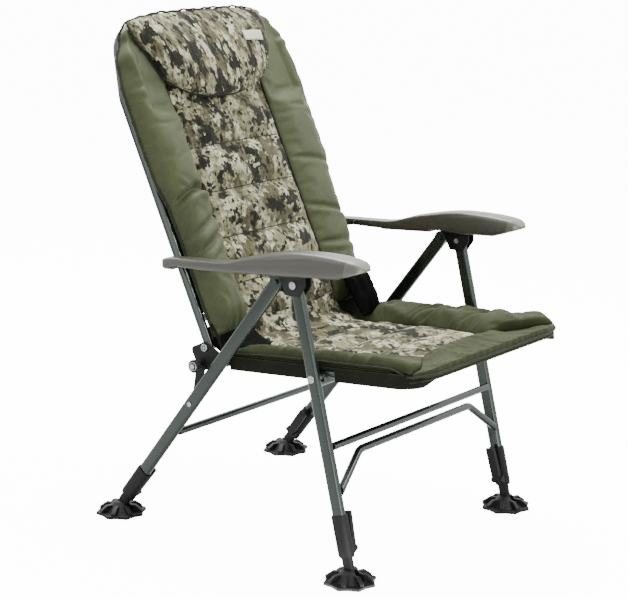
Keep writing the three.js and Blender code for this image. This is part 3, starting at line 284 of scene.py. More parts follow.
class Effects:
    """Shared shader effects, each built once as a node group."""

    def __init__(self) -> None:
        """Builds the groups."""
        self.weave = self._weave()
        self.mottle = self._mottle()
        self.camouflage = self._camouflage()

    @staticmethod
    def _weave() -> bpy.types.NodeTree:
        """Crossing threads: a height and a thread shade.

        Returns:
            The group's tree.
        """
        w, (vector, threads) = new_group("thread_weave", {"Threads": 900.0}, ["Height", "Shade"])
        drift = w.add("TexNoise", {"Vector": vector, "Scale": 60.0, "Detail": 2.0}).outputs[1]
        moved = w.add("MixRGB", {0: 0.012, 1: vector, 2: drift}, blend_type="ADD").outputs[0]
        axes = w.add("SeparateXYZ", {0: w.vector("SCALE", moved, {"Scale": threads})}).outputs
        warp = w.math("SINE", w.math("ADD", axes[0], axes[1]))
        weft = w.math("SINE", w.math("SUBTRACT", axes[2], w.math("MULTIPLY", axes[1], 0.5)))
        cross = w.math("MAXIMUM", warp, weft)
        height = w.math("MULTIPLY_ADD", w.noise(vector, 420.0, 3.0), 1.2, cross)
        shade = w.math("MULTIPLY_ADD", cross, 0.5, 0.5)
        w.add("NodeGroupOutput", {"Height": w.math("MULTIPLY", height, 0.5), "Shade": shade})
        return w.tree

    @staticmethod
    def _mottle() -> bpy.types.NodeTree:
        """Broad and fine unevenness, for colour and gloss.

        Returns:
            The group's tree.
        """
        w, (vector, broad, fine) = new_group("soft_mottle", {"Broad": 6.0, "Fine": 90.0}, ["Broad", "Fine"])
        parts = {"Broad": w.noise(vector, broad, 3.0, 0.6), "Fine": w.noise(vector, fine, 4.0, 0.65)}
        w.add("NodeGroupOutput", {name: w.ramp(part, (0.3, 0), (0.7, 1)) for name, part in parts.items()})
        return w.tree

    @staticmethod
    def _camouflage() -> bpy.types.NodeTree:
        """A generic broken pattern: pale ground, taupe clouds and ragged dark blotches.

        Returns:
            The group's tree.
        """
        w, (vector, size, cover) = new_group("broken_pattern", {"Size": 1.0, "Cover": 0.0}, ["Color"])
        at = w.vector("SCALE", vector, {"Scale": size})
        lumps, grains = (w.add("TexVoronoi", {"Vector": at, "Scale": each}).outputs["Position"] for each in (210, 600))

        def layer(points: Socket, shift: Triple, scale: float, detail: float) -> Socket:
            """A noise read once for each small lump of the print, so that its edges are ragged."""
            return w.noise(w.vector("ADD", points, {1: shift}), scale, detail, 0.6)

        clouds = w.ramp(layer(grains, (0.2, 0.9, 0.4), 15.0, 3.0), (0.49, 0), (0.53, 1))
        pale = w.ramp(layer(grains, (3.1, 1.7, 0.4), 30.0, 3.0), (0.52, 0), (0.555, 1))
        fleck = w.ramp(layer(grains, (1.6, 8.2, 2.7), 120.0, 2.0), (0.55, 0), (0.58, 0.85))
        broad = w.math("ADD", layer(lumps, (7.3, 5.9, 2.2), 25.0, 3.5), cover)
        blotch = w.ramp(broad, (0.548, 0), (0.555, 1))
        spot = w.ramp(layer(lumps, (4.4, 2.9, 9.2), 74.0, 1.5), (0.605, 0), (0.612, 1))
        fade = w.ramp(layer(grains, (5.5, 6.1, 0.3), 70.0, 2.0), (0.4, 0), (0.65, 1))
        ground = w.mix(clouds, srgb(150, 148, 116), srgb(100, 96, 71))
        light = w.mix(pale, ground, srgb(200, 199, 168))
        flecked = w.mix(fleck, light, srgb(86, 83, 62))
        dark = w.mix(fade, srgb(24, 26, 18), srgb(48, 48, 35))
        w.add("NodeGroupOutput", {"Color": w.mix(w.math("MAXIMUM", blotch, spot), flecked, dark)})
        return w.tree


@dataclass
class Look(Wiring):
    """The node tree of one material, with the shared effects and the object's coordinates."""

    effects: Effects
    place: Socket | None = None

    def __post_init__(self) -> None:
        """Adds the coordinates."""
        self.place = self.add("TexCoord").outputs["Object"]

    def mottle(self, broad: float, fine: float) -> list[Socket]:
        """Adds the broad and the fine unevenness, by their scales."""
        inputs = {"Vector": self.place, "Broad": broad, "Fine": fine}
        return self.add("Group", inputs, node_tree=self.effects.mottle).outputs[:2]

    def bump(self, height: Socket, strength: float, distance: float) -> Socket:
        """Adds a bump and returns its normal."""
        return self.add("Bump", {"Height": height, "Strength": strength, "Distance": distance}).outputs[0]


@dataclass(frozen=True)
class Finish:
    """What every finish has: a name, a slot and its roughness."""

    name: str
    slot: Slot
    roughness: float = 0.5

    def make(self, effects: Effects) -> bpy.types.Material:
        """Builds the material.

        Args:
            effects: The shared effects.

        Returns:
            The material.
        """
        material = bpy.data.materials.new(self.name)
        material.use_nodes = True
        look = Look(material.node_tree, effects)
        shader = material.node_tree.nodes["Principled BSDF"]
        look.fill(shader, {"Roughness": self.roughness, **self.surface(look)})
        return material

    def surface(self, look: Look) -> Inputs:
        """What goes into the material's shader."""
        raise NotImplementedError


@dataclass(frozen=True)
class Tinted(Finish):
    """A finish of two near colours, mixed by its broad unevenness."""

    colour: tuple[float, ...] = (0.1, 0.1, 0.1, 1)
    other: tuple[float, ...] = (0.1, 0.1, 0.1, 1)

    def tones(self, look: Look, broad: Socket, fine: Socket, spread: float) -> Inputs:
        """The mixed colour, and the roughness with its spread."""
        rough = look.math("MULTIPLY_ADD", fine, spread, self.roughness)
        return {"Base Color": look.mix(broad, self.colour, self.other), "Roughness": rough}


@dataclass(frozen=True)
class Painted(Tinted):
    """Glossy enamel on steel tube, with a faint unevenness."""

    def surface(self, look: Look) -> Inputs:
        """The enamel.

        Args:
            look: The material's node tree.

        Returns:
            The shader's inputs, by name.
        """
        broad, fine = look.mottle(9.0, 260.0)
        coat = {"Metallic": 0.5, "Coat Weight": 0.55, "Coat Roughness": 0.12}
        return {**self.tones(look, broad, fine, 0.12), **coat, "Normal": look.bump(fine, 0.05, 0.0004)}


@dataclass(frozen=True)
class Moulded(Tinted):
    """Moulded plastic with a fine spark-eroded grain."""

    grain: float = 900.0
    depth: float = 0.15
    gloss: float = 0.25
    coat: float = 0.0

    def surface(self, look: Look) -> Inputs:
        """The plastic.

        Args:
            look: The material's node tree.

        Returns:
            The shader's inputs, by name.
        """
        broad, fine = look.mottle(11.0, self.grain)
        coat = {"Coat Weight": self.coat, "Coat Roughness": 0.3, "Specular IOR Level": self.gloss}
        return {**self.tones(look, broad, fine, 0.14), **coat, "Normal": look.bump(fine, self.depth, 0.0006)}


@dataclass(frozen=True)
class Plated(Tinted):
    """Bright zinc on rivets and bolts."""

    def surface(self, look: Look) -> Inputs:
        """The plating."""
        return {**self.tones(look, *look.mottle(60.0, 500.0), 0.2), "Metallic": 1.0}


@dataclass(frozen=True)
class Cloth(Tinted):
    """Woven cloth: threads, soft creases and a little sheen."""

    threads: float = 2600.0
    sheen: float = 0.1
    depth: float = 0.3
    gloss: float = 0.22

    def surface(self, look: Look) -> Inputs:
        """The cloth.

        Args:
            look: The material's node tree.

        Returns:
            The shader's inputs, by name.
        """
        broad, fine = look.mottle(12.0, 150.0)
        inputs = {"Vector": look.place, "Threads": self.threads}
        height, shade = look.add("Group", inputs, node_tree=look.effects.weave).outputs[:2]
        tones = self.tones(look, broad, fine, 0.12)
        relief = look.math("ADD", height, look.math("MULTIPLY", fine, 1.6))
        return {
            "Base Color": look.mix(look.math("MULTIPLY", shade, 0.3), tones["Base Color"], self.other),
            "Roughness": tones["Roughness"],
            "Specular IOR Level": self.gloss,
            "Sheen Weight": self.sheen,
            "Sheen Roughness": 0.45,
            "Normal": look.bump(relief, self.depth, 0.0009),
        }


@dataclass(frozen=True)
class Fleece(Finish):
    """Brushed cloth with the broken pattern and a pile that lies one way."""

    size: float = 1.0
    stretch: Triple = (1.0, 1.0, 1.0)
    turn: Triple = (0.0, 0.0, 0.0)
    combed: float = 0.2
    cover: float = 0.0

    def surface(self, look: Look) -> Inputs:
        """The fleece.

        Args:
            look: The material's node tree.

        Returns:
            The shader's inputs, by name.
        """
        turned = look.add("Mapping", {"Vector": look.place, "Rotation": self.turn}).outputs[0]
        laid = look.vector("MULTIPLY", turned, {1: self.stretch})
        strands = look.vector("MULTIPLY", turned, {1: (1.0, 1.0, self.combed)})
        inputs = {"Vector": laid, "Size": self.size, "Cover": self.cover}
        pattern = look.add("Group", inputs, node_tree=look.effects.camouflage).outputs[0]
        broad, fine = look.mottle(9.0, 300.0)
        tufts = look.ramp(look.noise(strands, 190.0, 3.0, 0.65), (0.32, 0), (0.68, 1))
        nap = look.mix(0.2, look.mix(0.5, pattern, tufts, "OVERLAY"), fine, "OVERLAY")
        return {
            "Base Color": look.mix(0.14, nap, broad, "OVERLAY"),
            "Specular IOR Level": 0.08,
            "Sheen Weight": 0.12,
            "Sheen Roughness": 0.6,
            "Normal": look.bump(look.math("ADD", tufts, fine), 0.55, 0.0016),
        }


@dataclass(frozen=True)
class Ground(Finish):
    """The studio's pale floor, lit from below towards the camera so that it stays near white."""

    glow: float = 13.0
    strip: float = -135.0

    def surface(self, look: Look) -> Inputs:
        """The floor's paint, with a bright strip at one bearing that only glossy rays see.

        Args:
            look: The material's node tree.

        Returns:
            The shader's inputs, by name.
        """
        paths = look.add("LightPath").outputs
        axes = look.add("SeparateXYZ", {0: look.place}).outputs
        bearing = look.math("ARCTAN2", axes[1], axes[0])
        away = look.math("ABSOLUTE", look.math("SUBTRACT", bearing, math.radians(self.strip)))
        strip = look.math("MULTIPLY", look.ramp(away, (0.1, 0.7), (0.26, 0)), paths["Is Glossy Ray"])
        lit = look.math("ADD", paths["Is Camera Ray"], strip)
        return {"Base Color": (0.9, 0.9, 0.9, 1), "Emission Color": lit, "Emission Strength": self.glow}


class Palette:
    """Every finish of the chair, made once."""

    def __init__(self) -> None:
        """Builds the effects and the materials."""
        effects = Effects()
        black, arm, steel = Slot.PLASTIC, Slot.ARM_PLASTIC, Slot.STEEL
        dark, olive, pattern = Slot.SLING_CLOTH, Slot.OLIVE_CLOTH, Slot.PATTERN_CLOTH
        arm_look = {"grain": 1100.0, "depth": 0.12, "gloss": 0.6, "coat": 0.6}
        satin = {"threads": 3200.0, "depth": 0.2}
        sling = {"threads": 2200.0, "sheen": 0.0, "gloss": 0.06}
        upright = math.pi / 2
        finishes = [
            Painted("green_enamel", Slot.PAINT, 0.2, srgb(36, 47, 41), srgb(44, 56, 49)),
            Moulded("black_plastic", black, 0.5, srgb(13, 14, 14), srgb(20, 21, 20)),
            Moulded("taupe_plastic", arm, 0.3, srgb(58, 58, 48), srgb(65, 64, 54), **arm_look),
            # A paler copy of the arm plastic for the arms' tips: a painted highlight where the tip faces the light.
            Moulded("pale_taupe_plastic", arm, 0.34, srgb(92, 91, 79), srgb(100, 99, 86), **arm_look),
            Plated("bright_zinc", steel, 0.25, srgb(196, 198, 200), srgb(158, 160, 162)),
            Cloth("dark_sling_cloth", dark, 0.72, srgb(41, 42, 34), srgb(31, 31, 26), **sling),
            Cloth("olive_satin", olive, 0.48, srgb(77, 84, 52), srgb(64, 71, 42), gloss=0.3, **satin),
            # A darker copy of the olive satin for the seat: painted shade on its bolsters, band and hem.
            Cloth("seat_olive_satin", olive, 0.56, srgb(62, 68, 42), srgb(51, 57, 34), sheen=0.05, gloss=0.1, **satin),
            Cloth("black_satin", dark, 0.66, srgb(6, 6, 6), srgb(4, 4, 4), sheen=0.0, gloss=0.05, **satin),
            Cloth("edge_piping", olive, 0.6, srgb(36, 38, 28), srgb(26, 28, 21)),
            Cloth("pale_binding", pattern, 0.6, srgb(170, 168, 140), srgb(150, 148, 120)),
            Cloth("blank_tag", olive, 0.6, srgb(232, 236, 204), srgb(220, 222, 192)),
            # The seat's cover is lower than the back's and the pillow's, so its print has fewer dark blotches and reads
            # paler: painted light from above.
            Fleece("seat_fleece", pattern, 0.9, 0.86, (1.0, 1.0, 0.8), (upright - SEAT_TILT, 0.0, 0.0), cover=-0.008),
            Fleece("back_fleece", pattern, 0.9, 0.86, (1.0, 1.0, 0.92), (BACK_LEAN, 0.0, 0.0)),
            Fleece("pillow_fleece", pattern, 0.9, 0.95, (1.3, 1.3, 0.55), (BACK_LEAN, 0.22, 0.0), 0.14, 0.01),
            Ground("studio_floor", black, 0.9),
        ]
        self.slots = {finish.name: finish.slot for finish in finishes}
        self.materials = {finish.name: finish.make(effects) for finish in finishes}

    def dress(self, piece: Piece, name: str) -> None:
        """Gives a piece one finish.

        Args:
            piece: The piece.
            name: The finish's name.
        """
        piece.data.materials.clear()
        piece.data.materials.append(self.materials[name])
        for polygon in piece.data.polygons:
            polygon.material_index = 0


@dataclass(frozen=True)
class SidePlane:
    """A frame turned about X at a place of the side view, in which a sub-assembly is laid out."""

    y: float
    z: float
    turn: float

    @property
    def matrix(self) -> Matrix:
        """From the plane's own coordinates to the chair's."""
        return Matrix.Translation((0, self.y, self.z)) @ Matrix.Rotation(self.turn, 4, "X")

    def at(self, x: float, y: float, z: float) -> Vector:
        """A place of the plane in the chair's coordinates."""
        return self.matrix @ Vector((x, y, z))

    def way(self, x: float, y: float, z: float) -> Vector:
        """A direction of the plane in the chair's coordinates."""
        return self.at(x, y, z) - self.at(0, 0, 0)


class Layout:
    """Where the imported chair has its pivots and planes."""

    def __init__(self, frame: dict) -> None:
        """Reads the joints.
        """
        self.joints = {joint["name"]: joint for joint in frame["joints"]}
        seat, back = self.pivot("fold"), self.pivot("recline")
        self.seat = SidePlane(seat.y, seat.z, -SEAT_TILT)
        self.back = SidePlane(back.y, back.z, -BACK_LEAN)
        self.bodies = {node: body for body, nodes in frame["record"]["behaviour"]["bodies"].items() for node in nodes}

    def pivot(self, joint: str) -> Vector:
        """A hinge's place."""
        return Vector(self.joints[joint]["pos_m"])


def finished(name: str, shape: bmesh.types.BMesh) -> Piece:
    """Turns a bmesh into a smooth object in the scene.

    Args:
        name: The piece's name.
        shape: The bmesh, which is freed.

    Returns:
        The object.
    """
    for face in shape.faces:
        face.smooth = True
    mesh = bpy.data.meshes.new(name)
    shape.to_mesh(mesh)
    shape.free()
    piece = bpy.data.objects.new(name, mesh)
    bpy.context.scene.collection.objects.link(piece)
    return piece


def apply_modifiers(piece: Piece) -> None:
    """Bakes a piece's modifiers into its mesh.

    Args:
        piece: The piece.
    """
    graph = bpy.context.evaluated_depsgraph_get()
    mesh = bpy.data.meshes.new_from_object(piece.evaluated_get(graph))
    piece.modifiers.clear()
    piece.data = mesh


def modified(piece: Piece, kind: str, **settings: object) -> None:
    """Adds a modifier to a piece and bakes it.

    Args:
        piece: The piece.
        kind: The modifier's type.
        **settings: The modifier's properties.
    """
    modifier = piece.modifiers.new(kind.lower(), kind)
    for name, value in settings.items():
        setattr(modifier, name, value)
    apply_modifiers(piece)


def opened(mesh: bpy.types.Mesh, reach: float) -> bmesh.types.BMesh:
    """Opens a mesh and joins its doubled points.

    Args:
        mesh: The mesh.
        reach: How near each other such points are.

    Returns:
        The mesh as a bmesh.
    """
    shape = bmesh.new()
    shape.from_mesh(mesh)
    bmesh.ops.remove_doubles(shape, verts=shape.verts, dist=reach)
    return shape


def smooth_sharp(shape: bmesh.types.BMesh) -> None:
    """Marks the edges over the sharp angle as sharp, and the others as smooth."""
    for edge in shape.edges:
        edge.smooth = len(edge.link_faces) == 2 and edge.calc_face_angle(0) < SHARP


def puff(share: float, power: float = 2.6) -> float:
    """How full a cushion is at a share of the way across: 0 at its edges, 1 in its middle."""
    return 1 - abs(2 * share - 1) ** power


def rise(distance: float, radius: float) -> float:
    """How far a rounded end has risen at a distance from the end."""
    return 1.0 if distance >= radius else math.sqrt(max(0.0, 1 - (1 - distance / radius) ** 2))


def smoothstep(value: float, low: float, high: float) -> float:
    """A smooth step from 0 at low to 1 at high."""
    share = min(max((value - low) / (high - low), 0.0), 1.0)
    return share * share * (3 - 2 * share)


def lerp(first: float, second: float, share: float) -> float:
    """A place between two values."""
    return first + (second - first) * share


def bell(value: float, middle: float, width: float) -> float:
    """A bell-shaped swelling, 1 at its middle."""
    return math.exp(-(((value - middle) / width) ** 2))


def shares(count: int) -> list[float]:
    """Evenly spaced shares from 0 to 1."""
    return [number / count for number in range(count + 1)]


def table_at(table: Table, place: float) -> float:
    """Reads a table of place and value smoothly.

    Args:
        table: Pairs of place and value.
        place: Where it is read.

    Returns:
        The value.
    """
    if place <= table[0][0]:
        return table[0][1]
    for (a, low), (b, high) in zip(table, table[1:]):
        if place <= b:
            return lerp(low, high, smoothstep(place, a, b))
    return table[-1][1]


def swept(name: str, path: Sequence[Vector], radius: float, closed: bool = False) -> Piece:
    """Sweeps a round cord of cloth along a path.

    Args:
        name: The piece's name.
        path: Points in the chair's coordinates.
        radius: The cord's radius.
        closed: Whether the path returns to its start.

    Returns:
        The cord as a mesh object.
    """
    curve = bpy.data.curves.new(name, "CURVE")
    curve.dimensions = "3D"
    curve.bevel_depth = radius
    curve.bevel_resolution = 2
    curve.use_fill_caps = not closed
    spline = curve.splines.new("POLY")
    spline.points.add(len(path) - 1)
    for point, place in zip(spline.points, path):
        point.co = (*place, 1)
    spline.use_cyclic_u = closed
    holder = bpy.data.objects.new(name, curve)
    bpy.context.scene.collection.objects.link(holder)
    mesh = bpy.data.meshes.new_from_object(holder.evaluated_get(bpy.context.evaluated_depsgraph_get()))
    bpy.data.objects.remove(holder)
    shape = opened(mesh, 1e-5)
    bmesh.ops.recalc_face_normals(shape, faces=shape.faces)
    return finished(name, shape)


@dataclass(frozen=True)
class Crease:
    """A fold pressed across a bolster, from its inner to its outer seam, at shares of its length."""

    inner: float
    outer: float
    depth: float
    width: float
    bow: float = 0.0

    def at(self, u: float, v: float) -> float:
        """How deep the crease is at a place of the bolster, with the cloth swelling beside it.

        Args:
            u: The share across.
            v: The share along.

        Returns:
            The depth.
        """
        line = lerp(self.inner, self.outer, u) + self.bow * puff(u, 2)
        away = (v - line) / self.width
        return self.depth * (bell(away, 0.0, 1.0) - 0.35 * bell(away, -2.4, 1.5))


def folded(creases: Sequence[Crease], u: float, v: float) -> float:
    """How deep all creases are together at a place."""
    return sum(crease.at(u, v) for crease in creases)


def ridged(place: Vector, strength: float) -> float:
    """Soft pulled ridges of slack cloth."""
    return strength * (1 - 2 * abs(noise.noise(place)))


def sheeted(name: str, columns: int, rows: int, surface: Surface, thickness: float) -> Piece:
    """Cuts a thin sheet of cloth and lays it over a surface.

    Args:
        name: The piece's name.
        columns: Cells across.
        rows: Cells along.
        surface: The place of each pair of shares.
        thickness: The cloth's thickness.

    Returns:
        The sheet as a closed form.
    """
    shape = bmesh.new()
    bmesh.ops.create_grid(shape, x_segments=columns, y_segments=rows, size=0.5)
    for vert in shape.verts:
        vert.co = surface(vert.co.x + 0.5, vert.co.y + 0.5)
    bmesh.ops.recalc_face_normals(shape, faces=shape.faces)
    bmesh.ops.solidify(shape, geom=list(shape.faces), thickness=thickness)
    bmesh.ops.recalc_face_normals(shape, faces=shape.faces)
    return finished(name, shape)


def laid_on(piece: Piece, start: Vector, toward: Vector, lift: float) -> Vector:
    """The place where a ray first meets a piece, lifted off it.

    Args:
        piece: The piece under the ray.
        start: Where the ray starts.
        toward: Which way it goes.
        lift: How far off the surface the place is.

    Returns:
        The place, or the ray's start where it meets nothing.
    """
    tree = BVHTree.FromObject(piece, bpy.context.evaluated_depsgraph_get())
    hit = tree.ray_cast(start, toward)[0]
    return start if hit is None else hit - toward * lift


@dataclass
class Pad:
    """A stuffed form over a grid: a crowned face, a lower face and a wall between them.

    The faces are functions of two shares, across and along. The simulation holds the seams, blows the pad up with
    the pressure, lets its cloth grow by a share, and moves no point further than the cap.
    """

    name: str
    columns: int
    rows: int
    top: Surface
    bottom: Surface
    held: Callable[[float, float], float]
    pressure: float
    growth: float
    cap: float
    piece: Piece | None = None
    rest: list[Vector] = field(default_factory=list)

    def build(self) -> Piece:
        """Makes the closed grid form, with the shares in its UV map.

        Returns:
            The object.
        """
        shape = bmesh.new()
        bmesh.ops.create_grid(shape, x_segments=self.columns, y_segments=self.rows, size=0.5)
        top = set(shape.verts)
        bmesh.ops.extrude_face_region(shape, geom=list(shape.faces), use_keep_orig=True)
        uv = shape.loops.layers.uv.new("shares")
        for face in shape.faces:
            for loop in face.loops:
                loop[uv].uv = (loop.vert.co.x + 0.5, loop.vert.co.y + 0.5)
        holds = []
        for vert in shape.verts:
            u, v = vert.co.x + 0.5, vert.co.y + 0.5
            holds.append(self.held(u, v) if vert in top else 1.0)
            vert.co = self.top(u, v) if vert in top else self.bottom(u, v)
        bmesh.ops.recalc_face_normals(shape, faces=shape.faces)
        self.piece = finished(self.name, shape)
        group = self.piece.vertex_groups.new(name="held")
        for index, weight in enumerate(holds):
            if weight > 0:
                group.add([index], weight, "REPLACE")
        self.rest = [vert.co.copy() for vert in self.piece.data.vertices]
        return self.piece

    def inflate(self) -> None:
        """Adds the cloth simulation that fills the form between its seams."""
        cloth = self.piece.modifiers.new("filling", "CLOTH")
        settings = cloth.settings
        settings.quality = 5
        settings.mass = 0.25
        settings.air_damping = 2.0
        settings.tension_stiffness = settings.compression_stiffness = 12
        settings.shear_stiffness = 6
        settings.bending_stiffness = 0.35
        settings.use_pressure = True
        settings.uniform_pressure_force = self.pressure
        settings.shrink_min = -self.growth
        settings.vertex_group_mass = "held"
        settings.effector_weights.gravity = 0
        cloth.collision_settings.use_collision = False
        cloth.collision_settings.use_self_collision = False
        cloth.point_cache.frame_start, cloth.point_cache.frame_end = FRAMES.start, FRAMES.stop - 1

    def settle(self) -> None:
        """Keeps the simulated form, with no point further from its place than the cap."""
        apply_modifiers(self.piece)
        for vertex, place in zip(self.piece.data.vertices, self.rest):
            step = vertex.co - place
            if step.length > self.cap:
                vertex.co = place + step * (self.cap / step.length)
        for polygon in self.piece.data.polygons:
            polygon.use_smooth = True


class Workshop:
    """Where the padded pieces are simulated together."""

    def __init__(self) -> None:
        """Starts with no pads."""
        self.pads: list[Pad] = []

    def take(self, pad: Pad) -> Piece:
        """Builds a pad and keeps it for the simulation."""
        self.pads.append(pad)
        return pad.build()

    def run(self) -> None:
        """Fills all pads in one run of the clock."""
        scene = bpy.context.scene
        for pad in self.pads:
            pad.inflate()
        for number in FRAMES:
            scene.frame_set(number)
        for pad in self.pads:
            pad.settle()
        scene.frame_set(1)
        LOG.info("simulated %d padded pieces", len(self.pads))


@dataclass
class Assembly:
    """What every sub-assembly has: the layout, the finishes and the workshop."""

    layout: Layout
    palette: Palette
    workshop: Workshop

    def report(self, piece: Piece) -> None:
        """Logs a finished piece."""
        LOG.info("%s: %d faces, %s", piece.name, len(piece.data.polygons), body_of(piece))

    def fit(self, piece: Piece, finish: str, body: str, node: str = "") -> None:
        """Dresses a piece and hangs it on its body.

        Args:
            piece: The piece.
            finish: Its finish.
            body: The body it rides on.
            node: The CAD node it replaces, if any.
        """
        self.palette.dress(piece, finish)
        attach(piece, body)
        if node:
            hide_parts(node)

    def lay(self, piece: Piece, flat: Pair, held: str, rests_on: Sequence[Piece | str] = ()) -> None:
        """Logs a sheet's area and reports it.

        Args:
            piece: The piece.
            flat: Its size before it was sewn in. Not used.
            held: How it is held. Not used.
            rests_on: What it lies on. Not used.
        """
        LOG.info("%s: %.4f m2", piece.name, sum(polygon.area for polygon in piece.data.polygons) / 2)
        self.report(piece)


@dataclass
class Cushion(Assembly):
    """What both cushions share: a channelled panel, creased bolsters, their stuffing and their cords."""

    body: str = ""
    satin: str = "olive_satin"
    fill: float = 0.6
    channels: int = 4
    channel_depth: float = 0.0075
    channel_power: float = 0.4
    groove: float = 0.09
    columns: int = 36
    grip: float = 90.0
    seam_sink: float = -0.0002
    pads: dict[str, tuple[Piece, str]] = field(default_factory=dict)

    def channel(self, v: float) -> float:
        """The channels' wave along the panel: 0 in a seam, 1 halfway between two."""
        return abs(math.sin(math.pi * v * self.channels))

    def channelled(self, u: float, v: float) -> float:
        """How deep the channels are sunk at a place of the panel."""
        return self.channel_depth * (1 - self.channel(v) ** self.channel_power) * puff(u, 7)

    def panel_held(self, u: float, v: float) -> float:
        """Holds the panel along its edges and in its channel seams."""
        edge = min(u, 1 - u) < 0.5 / self.columns or min(v, 1 - v) < 0.005
        return 1.0 if edge or self.channel(v) < self.groove else 0.0

    def bolster_held(self, creases: Sequence[Crease]) -> Callable[[float, float], float]:
        """Holds a bolster along its edges, and in its creases the more the deeper they are.

        Args:
            creases: The bolster's creases.

        Returns:
            How firmly a place is held, by its shares.
        """

        def held(u: float, v: float) -> float:
            """What the simulation holds."""
            edge = min(u, 1 - u) < 0.02 or min(v, 1 - v) < 0.01
            return 1.0 if edge else min(1.0, max(0.0, folded(creases, u, v) * self.grip))

        return held

    def stuff(self, node: str, finish: str, pad: Pad) -> None:
        """Takes a pad to the workshop.

        Args:
            node: The CAD node that the pad replaces.
            finish: The pad's finish.
            pad: The pad.
        """
        self.pads[node] = (self.workshop.take(pad), finish)

    def sew(self, name: str, path: Sequence[Vector], radius: float, finish: str = "edge_piping") -> None:
        """Sweeps and dresses a cord.

        Args:
            name: The cord's name.
            path: Its course.
            radius: Its radius.
            finish: Its finish.
        """
        cord = swept(name, path, radius)
        self.fit(cord, finish, self.body)
        self.report(cord)

    def dress(self) -> None:
        """Finishes the simulated pads and sews the cords over them."""
        for node, (piece, finish) in self.pads.items():
            modified(piece, "SUBSURF", levels=1, render_levels=1)
            self.fit(piece, finish, self.body, node)
            self.report(piece)
        self._pipe()

    def _pipe(self) -> None:
        """Sews the cords."""
        raise NotImplementedError


